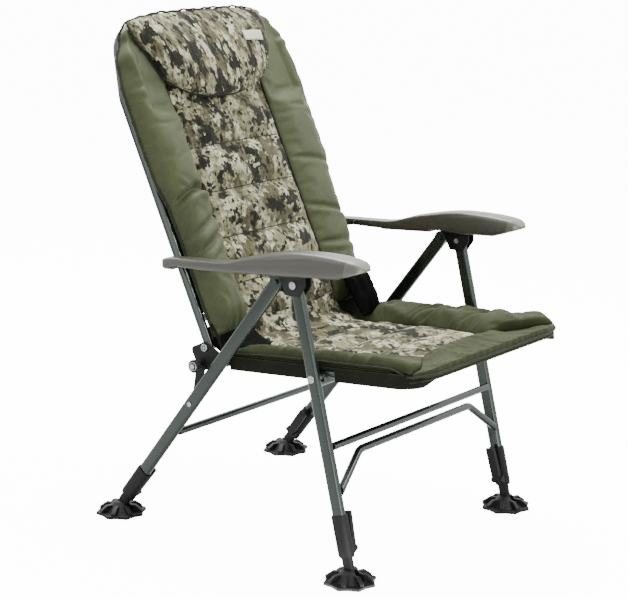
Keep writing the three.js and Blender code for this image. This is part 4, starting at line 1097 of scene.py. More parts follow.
@dataclass
class SeatCushion(Cushion):
    """The seat's patterned panel, side bolsters, front band and piping, in the seat's tilted plane."""

    body: str = "seat"
    # The seat's satin is the darker copy of the olive satin: painted shade.
    satin: str = "seat_olive_satin"

    # Half widths, and places along the seat's plane from the seat pivot.
    panel_half: float = 0.146
    front_half: float = 0.114
    outer_half: float = 0.262
    panel_front: float = 0.143
    panel_rear: float = 0.272
    front: float = 0.244
    nose: float = 0.238
    bolster_rear: float = 0.246

    # The sling's height, and how it sags behind its front.
    sling_top: float = 0.022
    sling_sag: float = 0.007
    sling_half: float = 0.2717
    sling_gap: float = 0.0009
    sag_ends: Pair = (-0.211, -0.091)

    # Heights over the sling or the plane. A pair is the near and the far side's.
    seam_rise: float = 0.0022
    panel_rise: float = 0.0085
    rear_edge: float = 0.026
    front_crown: float = 0.036
    front_drop: float = 0.017
    front_hem: float = 0.005
    corner_edge: float = 0.019
    crowns: Pair = (0.047, 0.049)
    edges: Pair = (0.031, 0.034)
    corner_rises: Pair = (0.0021, 0.015)

    # How the ends and corners are rounded, and how uneven the cloth is.
    panel_round: float = 0.068
    rear_round: float = 0.110
    rounding: float = 0.024
    straight: float = 0.192
    corner: float = 0.070
    slackness: Pair = (0.0018, 0.0016)
    dip: float = 0.0035
    gather: float = 0.0011

    # The cords: their radius, the dark cord in the channel seams, which is a painted shadow of the grooves, and how far
    # the hem's hangs out.
    piping: float = 0.0021
    thread: float = 0.0011
    hem_gap: float = 0.0012

    creases: tuple[Sequence[Crease], Sequence[Crease]] = (
        (Crease(0.3, 0.33, 0.005, 0.01), Crease(0.2, 0.24, 0.006, 0.01), Crease(0.68, 0.71, 0.004, 0.012)),
        (
            Crease(0.86, 0.83, 0.014, 0.014, 0.02),
            Crease(0.5, 0.46, 0.015, 0.012),
            Crease(0.6, 0.62, 0.006, 0.009),
            Crease(0.56, 0.55, 0.005, 0.008),
            Crease(0.24, 0.3, 0.008, 0.018),
        ),
    )

    def under(self, x: float, y: float) -> float:
        """Height of the sling under the cushion."""
        slack = smoothstep(y, *self.sag_ends) * puff(0.5 + x / (2 * self.sling_half), 3)
        return self.sling_top - self.sling_sag * slack + self.sling_gap

    def seam(self, x: float, y: float) -> float:
        """Height of the seams over the sling."""
        return self.under(x, y) + self.seam_rise

    def nose_at(self, x: float, nose: float) -> float:
        """How far ahead of the seat pivot the front edge lies, which draws in towards its corners."""
        return nose - self.rounding * max(0.0, (abs(x) - self.straight) / self.corner) ** 2.2

    def half_at(self, y: float) -> float:
        """The panel's half width, which draws in towards the front band."""
        return lerp(self.front_half, self.panel_half, smoothstep(y, -self.panel_front, 0.0))

    def build(self) -> None:
        """Sews the seat's pads."""
        self._panel()
        for side in Side:
            self._bolster(side)
        self._band()

    def _panel(self) -> None:
        """Sews the patterned panel."""
        at = self.layout.seat.at

        def place(u: float, v: float) -> Pair:
            """Where a pair of shares lies."""
            y = lerp(-self.panel_front, self.panel_rear, v)
            return self.half_at(y) * (2 * u - 1), y

        def top(u: float, v: float) -> Vector:
            """The upper face."""
            x, y = place(u, v)
            end = rise(self.panel_rear - y, self.panel_round)
            swell = puff(u) * self.panel_rise - self.channelled(u, v)
            dip = self.dip * noise.noise(Vector((x * 11, y * 11, 1.3)))
            return at(x, y, self.seam(x, y) + (swell + dip * puff(u, 4)) * end)

        def bottom(u: float, v: float) -> Vector:
            """The lower face."""
            x, y = place(u, v)
            return at(x, y, self.under(x, y))

        rows, held = 56, self.panel_held
        pad = Pad("seat_panel_pad", self.columns, rows, top, bottom, held, pressure=2.0, growth=0.03, cap=0.004)
        self.stuff("seat_panel", "seat_fleece", pad)

    def _bolster(self, side: Side) -> None:
        """Sews one side bolster.

        Args:
            side: The side.
        """
        at, sign = self.layout.seat.at, side.value
        near = side is Side.RIGHT
        tall, side_edge, creases = side.of(self.crowns), side.of(self.edges), side.of(self.creases)
        corner_rise, slackness = side.of(self.corner_rises), side.of(self.slackness)

        def place(u: float, v: float) -> Pair:
            """Where a pair of shares lies."""
            start = lerp(self.front_half, self.outer_half, u)
            y = lerp(-self.nose_at(start, lerp(self.panel_front, self.front, u)), self.bolster_rear, v)
            return lerp(self.half_at(y), self.outer_half, u), y

        def top(u: float, v: float) -> Vector:
            """The upper face."""
            x, y = place(u, v)
            corner = corner_rise * bell(v, 0.1, 0.09) * u
            low = lerp(self.corner_edge, side_edge + corner, smoothstep(v, -0.03, 0.07))
            edge = lerp(self.seam(x, y), low, u)
            crown = lerp(self.rear_edge, tall, rise(self.bolster_rear - y, self.rear_round))
            full = lerp(0.65, 1.0, rise(v, 0.2)) * puff(u, 3.2)
            if near:
                full = lerp(0.55, 1.0, rise(v, 0.12)) * min(1.0, u / 0.86) ** 1.1 * rise(1 - u, 0.17)
            slack = ridged(Vector((x * 18, y * 9, 3.7 * sign)), slackness) * full
            pressed = folded(creases, u, v) * full
            return at(sign * x, y, min(edge, crown) + max(0.0, crown - edge) * full + slack - pressed)

        def bottom(u: float, v: float) -> Vector:
            """The lower face."""
            x, y = place(u, v)
            return at(sign * x, y, self.under(x, y))

        growth, cap = side.of(((0.03, 0.004), (0.05, 0.006)))
        name, held = f"seat_bolster_pad_{side.word}", self.bolster_held(creases)
        pad = Pad(name, 18, 84, top, bottom, held, pressure=3.0, growth=growth, cap=cap)
        self.stuff(f"seat_bolster_{side.word}", self.satin, pad)

    def _band(self) -> None:
        """Sews the front band, which turns down over the front tube."""
        at = self.layout.seat.at
        reach = self.front - self.panel_front

        def half(y: float) -> float:
            """The half width."""
            return lerp(self.front_half, self.outer_half, (y - self.panel_front) / reach) - 0.0005

        def top(u: float, v: float) -> Vector:
            """The upper face."""
            y = self.panel_front + reach * min(1.0, v / 0.8)
            x = half(y) * (2 * u - 1)
            full = puff(u, 5) * puff(min(v / 0.8, 1) * 0.75 + 0.05)
            wander = noise.noise(Vector((u * 3, v * 2, 0.7)))
            gathers = math.sin(math.tau * (10 * u + 0.8 * wander)) + 0.6 * math.sin(math.tau * (23 * u - wander))
            ribs = self.gather * gathers * puff(u, 6) * puff(min(v, 0.9) / 0.9, 4)
            seam = self.seam(0, -y)
            crown = seam + (self.front_crown - seam) * full + ribs
            bend = max(0.0, (v - 0.7) / 0.3)
            return at(x, -self.nose_at(x, y), lerp(crown, self.front_drop, bend**1.4))

        def bottom(u: float, v: float) -> Vector:
            """The lower face."""
            y = lerp(self.panel_front, self.nose, min(1.0, v / 0.8))
            x = half(y) * (2 * u - 1)
            bend = max(0.0, (v - 0.8) / 0.2)
            return at(x, -self.nose_at(x, y), lerp(self.under(x, -y), self.front_hem, bend))

        def held(u: float, v: float) -> float:
            """What the simulation holds."""
            return 1.0 if min(u, 1 - u) < 0.01 or v < 0.01 or v > 0.97 or 0.78 < v < 0.82 else 0.0

        pad = Pad("seat_front_band_pad", 60, 24, top, bottom, held, pressure=2.5, growth=0.04, cap=0.006)
        self.stuff("seat_front_band", self.satin, pad)

    def _pipe(self) -> None:
        """Sews the piping round the cushion's upper edge and its hem, and a dark cord in each channel seam, a painted
        shadow of the groove.
        """
        at = self.layout.seat.at
        out, lap = self.piping * 0.4, 0.004

        def cord(name: str, edge: Callable[[float], float], front: float, nose: float, finish: str) -> None:
            """Sews one cord round the front."""
            corner = self.nose_at(self.outer_half, nose)
            path = []
            for share in shares(40):
                y = lerp(self.bolster_rear - lap, 0.006 - corner, share)
                height = lerp(front, edge(y), smoothstep(y + corner, 0.0, 0.05))
                path.append(at(-self.outer_half - out, y, height))
            for share in shares(40)[:-1]:
                x = -self.outer_half + lap + (self.outer_half - lap) * share
                path.append(at(x, -self.nose_at(x, nose) - out, front))
            mirror = [Vector((-place.x, place.y, place.z)) for place in reversed(path)]
            self.sew(name, path + mirror, self.piping, finish)

        def upper(y: float) -> float:
            """Height of the upper edge."""
            return lerp(self.edges[0], self.rear_edge, smoothstep(y, 0.1, 0.24))

        def hem(y: float) -> float:
            """Height of the hem."""
            return self.under(self.outer_half, y) + self.hem_gap

        cord("seat_upper_piping", upper, self.front_drop, self.front, "edge_piping")
        cord("seat_hem_piping", hem, self.front_hem + self.hem_gap, self.nose + self.hem_gap, self.satin)
        panel, down = self.pads["seat_panel"][0], self.layout.seat.way(0, 0, -1)
        # Dark cords laid in the channel seams: painted shadow of the grooves.
        for number in range(1, self.channels):
            y = lerp(-self.panel_front, self.panel_rear, number / self.channels)
            reach = self.half_at(y) - lap
            starts = [at(lerp(-reach, reach, share), y, 0.09) for share in shares(40)]
            path = [laid_on(panel, start, down, self.seam_sink) for start in starts]
            self.sew(f"seat_channel_seam_{number}", path, self.thread)


@dataclass
class BackCushion(Cushion):
    """The back's patterned panel, side bolsters, head pillow and piping, in the leaning plane of the back."""

    body: str = "backrest"
    fill: float = 0.65
    channels: int = 7
    channel_depth: float = 0.011
    grip: float = 70.0

    # Places up the back's plane from the recline pivot, and half widths. A pair is the near and the far side's.
    low: float = 0.008
    high: float = 0.717
    panel_half: float = 0.159
    far_half: float = 0.145
    reaches: Pair = (0.2575, 0.269)

    # Heights over the back's plane, and how the ends are rounded.
    seam: float = 0.033
    panel_crown: float = 0.047
    crowns: Pair = (0.064, 0.058)
    fullness: Pair = (3.4, 2.5)
    edges: Pair = (0.019, 0.024)
    behind: float = 0.0103
    sling_gap: float = 0.0018
    tube_ends: Pair = (0.64, 0.68)
    thinnest: float = 0.003
    foot_round: float = 0.068
    head_round: float = 0.034

    # How uneven the cloth is, and how high the gathers stand at the bolsters' feet and over the pillow.
    dip: float = 0.004
    slackness: float = 0.0013
    foot_gather: float = 0.0022
    pillow_gather: float = 0.0016

    # The head pillow.
    pillow_low: float = 0.517
    pillow_high: float = 0.7165
    pillow_half: float = 0.222
    pillow_foot: float = 0.178
    pillow_seat: float = 0.040
    pillow_dip: float = 0.060
    pillow_corner: float = 0.016
    pillow_far: float = 0.93
    pillow_heights: Pair = (0.006, 0.036)

    # The cords: their radius, and the dark cord in the channel seams, a painted shadow of the grooves.
    piping: float = 0.0024
    thread: float = 0.0012

    # The outer edge: shares of its reach at shares of the height, and where the far side swells.
    outline: Table = (
        (0.0, 0.985), (0.1, 0.995), (0.2, 0.992), (0.31, 0.992), (0.4, 1.0), (0.5, 1.056), (0.6, 1.067),
        (0.77, 1.062), (0.86, 1.022), (0.94, 0.91), (1.0, 0.72),
    )
    far_corner: float = 0.008
    far_bulges: Sequence[Triple] = ((0.9, 0.06, 1.0), (0.42, 0.12, 0.35), (0.1, 0.09, -1.2))

    # The blank tag.
    tag_place: Pair = (0.114, 0.633)
    tag_size: Pair = (0.062, 0.023)
    tag_slant: float = 0.004
    tag_lift: float = 0.0014
    tag_cloth: float = 0.0008
    tag_flat: Pair = (0.064, 0.024)

    creases: tuple[Sequence[Crease], Sequence[Crease]] = (
        (
            Crease(0.435, 0.405, 0.024, 0.0095, 0.022),
            Crease(0.78, 0.775, 0.007, 0.008),
            Crease(0.365, 0.3, 0.009, 0.011),
            Crease(0.315, 0.24, 0.008, 0.011),
            Crease(0.9, 0.92, 0.006, 0.009),
        ),
        (
            Crease(0.9, 0.875, 0.006, 0.008),
            Crease(0.49, 0.44, 0.005, 0.008),
            Crease(0.33, 0.27, 0.007, 0.008),
            Crease(0.2, 0.18, 0.006, 0.009),
        ),
    )

    def ends(self, z: float) -> float:
        """How far the cushion has risen from its lower and upper ends."""
        return rise(z - self.low, self.foot_round) * rise(self.high - z, self.head_round)

    def rear(self, z: float) -> float:
        """Height of the panel's rear face over the sling and the top tube."""
        return lerp(self.sling_gap, self.behind, smoothstep(z, *self.tube_ends))

    def pressed(self, height: float, x: float, z: float) -> float:
        """A height, less where the head pillow lies.

        Args:
            height: The height over the plane of the back.
            x: The place across.
            z: The place along the back.

        Returns:
            The height under the pillow, or as it was.
        """
        below = smoothstep(self.pillow_low - z, 0.0, 0.045)
        beside = smoothstep(abs(x) - self.pillow_half, 0.004, 0.03)
        share = (1 - below) * (1 - beside)
        return min(height, lerp(height, self.pillow_seat - 0.001, share))

    def build(self) -> None:
        """Sews the back's pads."""
        self._panel()
        for side in Side:
            self._bolster(side)
        self._pillow()

    def _panel(self) -> None:
        """Sews the patterned panel."""
        at = self.layout.back.at

        def place(u: float, v: float) -> Pair:
            """Where a pair of shares lies."""
            return lerp(-self.panel_half, self.far_half, u), lerp(self.low, self.high, v)

        def top(u: float, v: float) -> Vector:
            """The upper face."""
            x, z = place(u, v)
            full = self.seam + (self.panel_crown - self.seam) * puff(u) - self.channelled(u, v)
            full += self.dip * noise.noise(Vector((x * 9, z * 9, 4.1))) * puff(u, 4)
            thin = self.rear(z) + self.thinnest
            return at(x, -self.pressed(thin + (full - thin) * self.ends(z), x, z), z)

        def bottom(u: float, v: float) -> Vector:
            """The lower face."""
            x, z = place(u, v)
            return at(x, -self.rear(z), z)

        rows, held = 84, self.panel_held
        pad = Pad("back_panel_pad", self.columns, rows, top, bottom, held, pressure=2.0, growth=0.03, cap=0.005)
        self.stuff("back_panel", "back_fleece", pad)

    def half_on(self, side: Side) -> float:
        """The panel's half width on one side."""
        return self.panel_half if side is Side.RIGHT else self.far_half

    def outer(self, side: Side, v: float) -> float:
        """The cushion's half width on one side.

        Args:
            side: The side.
            v: The share of the cushion's height.

        Returns:
            The half width.
        """
        if side is Side.RIGHT:
            return self.reaches[0] * table_at(self.outline, v)
        swell = sum(weight * bell(v, middle, width) for middle, width, weight in self.far_bulges)
        return self.reaches[1] * table_at(self.outline, v) + self.far_corner * swell

    def _bolster(self, side: Side) -> None:
        """Sews one side bolster.

        Args:
            side: The side.
        """
        at, sign = self.layout.back.at, side.value
        tall, thin_edge, creases = side.of(self.crowns), side.of(self.edges), side.of(self.creases)

        def place(u: float, v: float) -> Pair:
            """Where a pair of shares lies."""
            return lerp(self.half_on(side), self.outer(side, v), u), lerp(self.low, self.high, v)

        def top(u: float, v: float) -> Vector:
            """The upper face."""
            x, z = place(u, v)
            edge = lerp(self.seam, thin_edge, u)
            slack = ridged(Vector((x * 16, z * 5, 5.9 * sign)), self.slackness)
            gather = self.foot_gather * math.sin(math.tau * 5.5 * u) * smoothstep(0.16 - v, 0.0, 0.12)
            full = edge + (tall - edge) * puff(u, side.of(self.fullness))
            full += (slack + gather - folded(creases, u, v)) * puff(u, 5)
            thin = self.behind + self.thinnest
            return at(sign * x, -self.pressed(thin + (full - thin) * self.ends(z), x, z), z)

        def bottom(u: float, v: float) -> Vector:
            """The lower face."""
            x, z = place(u, v)
            return at(sign * x, -self.behind, z)

        name, held = f"back_bolster_pad_{side.word}", self.bolster_held(creases)
        pad = Pad(name, 20, 120, top, bottom, held, pressure=3.0, growth=0.035, cap=0.006)
        self.stuff(f"back_bolster_{side.word}", self.satin, pad)

    def pillow_edge(self, u: float, v: float) -> Pair:
        """A place of the pillow in the plane of the back.

        Args:
            u: The share across.
            v: The share along.

        Returns:
            The place across and along the back.
        """
        across = 2 * u - 1
        x = across * lerp(self.pillow_half, self.pillow_foot, (1 - v) ** 1.3) * (self.pillow_far if across > 0 else 1.0)
        dip = self.pillow_dip * abs(across) ** 2.6
        return x, lerp(self.pillow_low + dip, self.pillow_high - self.pillow_corner * across**4, v)

    def _pillow(self) -> None:
        """Sews the head pillow."""
        at = self.layout.back.at
        base = self.pillow_seat

        def top(u: float, v: float) -> Vector:
            """The upper face."""
            x, z = self.pillow_edge(u, v)
            full = rise(min(u, 1 - u), 0.2) * rise(min(v, 1 - v), 0.45)
            gather = self.pillow_gather * math.sin(math.tau * 13 * u) * smoothstep(v, 0.55, 0.95) * full
            return at(x, -base - lerp(*self.pillow_heights, full) - gather, z)

        def bottom(u: float, v: float) -> Vector:
            """The lower face."""
            x, z = self.pillow_edge(u, v)
            return at(x, -base, z)

        def held(u: float, v: float) -> float:
            """What the simulation holds."""
            return 1.0 if min(u, 1 - u, v, 1 - v) < 0.01 else 0.0

        pad = Pad("head_pillow_pad", 56, 34, top, bottom, held, pressure=2.5, growth=0.05, cap=0.008)
        self.stuff("head_pillow", "pillow_fleece", pad)

    def _pipe(self) -> None:
        """Sews the piping of the outer edge; dark cords in the inner seams, partly piping and partly painted seam
        shadow; a thick dark cord round the pillow's near and lower edge, partly piping and partly painted shadow, and
        its pale binding; dark cords in the channel seams, a painted shadow of the grooves; and the tag.
        """
        at = self.layout.back.at
        outer = self._edge(Side.RIGHT) + self._top() + list(reversed(self._edge(Side.LEFT)))
        self.sew("back_edge_piping", outer, self.piping)
        # Dark cords in the inner seams: partly piping, partly painted seam shadow.
        for side in Side:
            path = []
            for share in shares(80):
                z = lerp(self.low + 0.01, self.pillow_low + 0.02, share)
                thin = self.rear(z) + self.thinnest
                height = thin + (self.seam - thin) * self.ends(z)
                path.append(at(side.value * (self.half_on(side) + 0.001), -height + self.seam_sink, z))
            self.sew(f"back_seam_piping_{side.word}", path, self.piping * 0.8)
        panel, inward = self.pads["back_panel"][0], self.layout.back.way(0, 1, 0)
        # Dark cords laid in the channel seams: painted shadow of the grooves.
        for number in range(1, self.channels):
            z = lerp(self.low, self.high, number / self.channels)
            if z < self.pillow_low - 0.01:
                places = [lerp(0.004 - self.panel_half, self.far_half - 0.004, share) for share in shares(40)]
                path = [laid_on(panel, at(x, -0.2, z), inward, self.seam_sink) for x in places]
                self.sew(f"back_channel_seam_{number}", path, self.thread)
        # A thick dark cord round the pillow's near and lower edge: partly piping, partly painted shadow under the
        # pillow.
        near = [(0.0, lerp(0.96, 0.03, share)) for share in shares(20)]
        lower = [(lerp(0.0, 0.93, share), 0.0) for share in shares(60)[1:]]
        far = [(1.0, lerp(0.02, 0.97, share)) for share in shares(20)]
        self.sew("head_pillow_piping", self._round_pillow(near + lower), self.piping * 1.1)
        self.sew("head_pillow_binding", self._round_pillow(far), self.piping, "pale_binding")
        self._tag(self.pads["head_pillow"][0], inward)

    def _edge(self, side: Side) -> list[Vector]:
        """The course of the piping up one outer edge.

        Args:
            side: The side.

        Returns:
            The course.
        """
        path = []
        for i, share in enumerate(shares(120)):
            v = lerp(0.0, 0.955, share)
            z = lerp(self.low, self.high, v)
            scallop = 0.0011 * math.sin(i * 0.9) + 0.0008 * math.sin(i * 2.3)
            full = self.behind + self.thinnest + (self.edges[0] - self.behind) * 0.6
            depth = lerp(self.behind, full, self.ends(z))
            path.append(self.layout.back.at(side.value * (self.outer(side, v) + scallop + 0.0006), -depth, z))
        return path

    def _top(self) -> list[Vector]:
        """The course of the piping over the pillow's upper edge.

        Returns:
            The course.
        """
        path = []
        for i, share in list(enumerate(shares(90)))[1:-1]:
            x, z = self.pillow_edge(share, 1.0)
            full = rise(min(share, 1 - share), 0.1)
            loose = 0.0009 * math.sin(i * 0.9) + 0.0009 * math.sin(i * 0.37)
            depth = lerp(self.behind + 0.012, self.pillow_seat + 0.007, full)
            path.append(self.layout.back.at(x, -depth, z + 0.0002 + loose * full))
        return path

    def _round_pillow(self, places: Table) -> list[Vector]:
        """The course of a cord through places of the pillow's outline."""
        base = self.pillow_seat + 0.004
        return [self.layout.back.at(x, -base, z) for x, z in (self.pillow_edge(*place) for place in places)]

    def _tag(self, pillow: Piece, inward: Vector) -> None:
        """Sews a blank woven tag on the pillow.

        Args:
            pillow: The pillow.
            inward: The way into the back.
        """

        def surface(u: float, v: float) -> Vector:
            """Where a pair of shares lies."""
            x = self.tag_place[0] + self.tag_size[0] * (u - 0.5)
            z = self.tag_place[1] + self.tag_size[1] * (v - 0.5) - self.tag_slant * (u - 0.5)
            return laid_on(pillow, self.layout.back.at(x, -0.2, z), inward, self.tag_lift)

        tag = sheeted("blank_tag", 12, 6, surface, self.tag_cloth)
        self.fit(tag, "blank_tag", self.body)
        self.lay(tag, self.tag_flat, "laid", [pillow])


@dataclass
class Crook(Assembly):
    """The cloth between the seat and the back: lining, strip and two gussets, bent with the recline."""

    cloth: float = 0.0016

    # Half widths, and courses in the seat's plane.
    strip_half: float = 0.152
    lining_half: float = 0.256
    gusset_outer: float = 0.258
    seat_end: Pair = (0.232, 0.040)
    back_end: Pair = (0.272, 0.082)
    strip_path: Table = (
        (0.215, 0.030), (0.240, 0.036), (0.256, 0.041), (0.265, 0.048), (0.274, 0.066), (0.280, 0.090), (0.287, 0.112),
    )
    lining_path: Table = (
        (0.222, 0.0235), (0.246, 0.0235), (0.262, 0.028), (0.272, 0.040), (0.280, 0.060), (0.290, 0.084),
    )
    low_gusset: Table = (
        (0.220, 0.026), (0.236, 0.034), (0.250, 0.040), (0.262, 0.048), (0.270, 0.058), (0.277, 0.070), (0.286, 0.084),
    )
    high_gusset: Table = (
        (0.192, 0.034), (0.204, 0.050), (0.216, 0.067), (0.226, 0.086), (0.236, 0.106), (0.250, 0.122), (0.276, 0.138),
    )

    @staticmethod
    def _along(path: Table, v: float) -> Pair:
        """A place on the smooth curve through a path's points.

        Args:
            path: The points, in the seat's plane.
            v: The share along the path.

        Returns:
            The place.
        """
        place = v * (len(path) - 1)
        index = min(int(place), len(path) - 2)
        before, after = path[max(index - 1, 0)], path[min(index + 2, len(path) - 1)]
        low, high = path[index], path[index + 1]
        t = place - index

        def curve(k: int) -> float:
            """One coordinate of the curve."""
            return 0.5 * (
                2 * low[k]
                + (high[k] - before[k]) * t
                + (2 * before[k] - 5 * low[k] + 4 * high[k] - after[k]) * t * t
                + (3 * low[k] - before[k] - 3 * high[k] + after[k]) * t**3
            )

        return curve(0), curve(1)

    def build(self) -> None:
        """Cuts the strip and the gussets, and joins them across the recline hinge."""
        at = self.layout.seat.at

        def strip(u: float, v: float) -> Vector:
            """The strip's face."""
            y, z = self._along(self.strip_path, v)
            sink = 0.008 * (1 - puff(u, 3))
            wave = ridged(Vector((u * 4, v * 3, 2.4)), 0.0025) * puff(v, 4)
            return at(self.strip_half * (2 * u - 1), y + 0.6 * sink - wave, z - sink + wave)

        def lining(u: float, v: float) -> Vector:
            """The lining's face."""
            return at(self.lining_half * (2 * u - 1), *self._along(self.lining_path, v))

        self._join("crook_lining", (30, 20), lining, "dark_sling_cloth", (0.500, 0.096), "stretched")
        self._join("crook_strip", (40, 24), strip, "seat_fleece", (0.304, 0.112), "stretched")
        for side in Side:
            self._gusset(side)

    def _gusset(self, side: Side) -> None:
        """Cuts one gusset. The far one has its own form.

        Args:
            side: The side.
        """
        sign = side.value
        bend, flat = side.of((self.low_gusset, self.high_gusset)), side.of(((0.112, 0.112), (0.100, 0.156)))
        inner_sink, bulge, narrower = side.of(((0.010, 0.0, 0.0), (0.002, 0.022, 0.042)))

        def gusset(u: float, v: float) -> Vector:
            """The gusset's face."""
            y, z = self._along(bend, v)
            sink = (inner_sink if u < 0.5 else 0.024) * (1 - puff(u, 2.6))
            wave = ridged(Vector((u * 5 + sign, v * 4, 6.4 * sign)), 0.005) * puff(u, 4)
            wave += bulge * puff(u, 2.4) * puff(v, 2.4)
            x = lerp(self.strip_half - 0.016, self.gusset_outer - narrower, u)
            return self.layout.seat.at(sign * x, y + 0.9 * sink - wave, z - 0.5 * sink + 0.6 * wave)

        self._join(f"crook_gusset_{side.word}", (26, 28), gusset, "black_satin", flat, "gathered")

    def _join(self, name: str, cells: tuple[int, int], surface: Surface, finish: str, flat: Pair, held: str) -> None:
        """Cuts a sheet, dresses it and bends it with the recline.

        Args:
            name: The sheet's name.
            cells: Its cells across and along.
            surface: The place of each pair of shares.
            finish: Its finish.
            flat: Its size before it was sewn in.
            held: How it is held.
        """
        piece = sheeted(name, *cells, surface, self.cloth)
        self.palette.dress(piece, finish)
        start, end = (tuple(self.layout.seat.at(0, *place)) for place in (self.seat_end, self.back_end))
        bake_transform(piece, "seat", "backrest", start=start, end=end)
        self.lay(piece, flat, held)


@dataclass
class Hardware(Assembly):
    """The rigid nodes, as rounded copies of their CAD solids."""

    edge: float = 0.0006
    ring: float = 0.0009
    arms: tuple[str, ...] = ("arm_right", "arm_left")
    painted: tuple[str, ...] = (
        "seat_frame", "seat_cross", "back_frame", "front_leg", "rear_leg", "front_bar", "rear_bar", "rear_arm",
    )
    plated: tuple[str, ...] = ("link_pin", "seat_pivot", "rack_pin", "back_pivot", "front_arm", "link_rivet")

    # The block that opens a bracket's cheek, placed from the rear leg and the arm's rivets.
    cheek_cut: Triple = (0.02, 0.12, 0.12)
    cheek_slant: float = math.radians(-28)
    cheek_gap: float = 0.0102
    cheek_rear: float = 0.072
    cheek_drop: float = 0.012

    # The arm's middle height at shares of its length, and what its ends get.
    arm_middle: Table = (
        (0.0, 0.6407), (0.1, 0.6379), (0.2, 0.6341), (0.3, 0.6312), (0.4, 0.6245), (0.55, 0.613), (0.7, 0.5987),
        (1.0, 0.5866),
    )
    blunt_share: float = 0.1
    bluntness: float = 0.9
    underside: float = 0.001
    longer: float = 0.008

    # Where the end cap starts, whose paler colour is a painted highlight, and the rack's place.
    cap_length: float = 0.040
    cap_slant: Pair = (0.22, -0.18)
    cap_height: float = 0.62
    rack_front: float = 0.150
    rack_facing: float = -0.25

    def build(self, frame: dict) -> None:
        """Rounds and dresses every rigid node.
        """
        soft = ("panel", "bolster", "band", "pillow", "sling")
        for node, cad in frame["nodes"].items():
            if any(word in node for word in soft):
                continue
            piece = self._rounded(node, cad)
            if node.startswith("arm_bracket"):
                self._open_cheek(piece)
            self.fit(piece, self._finish(node), self.layout.bodies[node], node)
            if node in self.arms:
                self._tip_arm(piece)
            self.report(piece)
        for side in Side:
            self._ring("link_disc", side, "link_pin", 0.62, "bright_zinc")
            self._ring("back_pivot_bolt", side, "back_pivot_bolt", 0.55, "black_plastic")

    def _ring(self, node: str, side: Side, centre: str, share: float, finish: str) -> None:
        """Lays a turned ring on the outer face of a round node.

        Args:
            node: The round node, without its side.
            side: The side.
            centre: The node whose middle is the ring's.
            share: The ring's radius as a share of the node's.
            finish: Its finish.
        """
        low, high = (Vector(corner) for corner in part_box(f"{node}_{side.word}"))
        inner, outer = (Vector(corner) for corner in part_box(f"{centre}_{side.word}"))
        middle = (inner + outer) / 2
        reach = (high.y - low.y) / 2 * share
        face = high.x if side is Side.LEFT else low.x
        turns = [math.tau * share for share in shares(32)[:-1]]
        path = [Vector((face, middle.y + reach * math.cos(turn), middle.z + reach * math.sin(turn))) for turn in turns]
        piece = swept(f"{node}_ring_{side.word}", path, self.ring, closed=True)
        self.fit(piece, finish, self.layout.bodies[f"{node}_{side.word}"])
        self.report(piece)

    def _rounded(self, node: str, cad: Piece) -> Piece:
        """Copies a CAD node, joins its loose triangles and breaks its sharp edges.

        Args:
            node: The node's name.
            cad: The CAD object.

        Returns:
            The copy.
        """
        shape = opened(cad.data, CAD_JOIN)
        bmesh.ops.dissolve_limit(shape, angle_limit=math.radians(1.5), verts=shape.verts, edges=shape.edges)
        smooth_sharp(shape)
        piece = finished(f"{node}_body", shape)
        modified(piece, "BEVEL", width=self.edge, segments=2, limit_method="ANGLE", angle_limit=SHARP)
        return piece

    def _open_cheek(self, piece: Piece) -> None:
        """Takes the rear half of a bracket's cheeks away, where the rear leg lies outside them.

        Args:
            piece: The bracket.
        """
        side = "left" if piece.name.startswith("arm_bracket_left") else "right"
        sign = Side[side.upper()].value
        low, high = (Vector(corner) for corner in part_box(f"rear_leg_{side}"))
        inside, outside = (low.x, high.x) if sign > 0 else (-high.x, -low.x)
        front, rear = (Vector(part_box(f"{end}_arm_rivet_{side}")[0]) for end in ("front", "rear"))
        middle = lerp(front.y, rear.y, 0.5) + self.cheek_rear
        for x in [outside + self.cheek_gap] + [inside - self.cheek_gap] * (sign > 0):
            shape = bmesh.new()
            bmesh.ops.create_cube(shape, size=1.0)
            bmesh.ops.scale(shape, vec=self.cheek_cut, verts=shape.verts)
            bmesh.ops.rotate(shape, matrix=Matrix.Rotation(self.cheek_slant, 3, "X"), verts=shape.verts)
            bmesh.ops.translate(shape, vec=(sign * x, middle, rear.z - self.cheek_drop), verts=shape.verts)
            cutter = finished("cheek_cutter", shape)
            modified(piece, "BOOLEAN", object=cutter, solver="EXACT")
            bpy.data.objects.remove(cutter)

    def _tip_arm(self, piece: Piece) -> None:
        """Gives an arm blunter and longer ends, an end cap in a paler colour that is a painted highlight, and the dark
        rack under its rear end.

        Args:
            piece: The arm.
        """
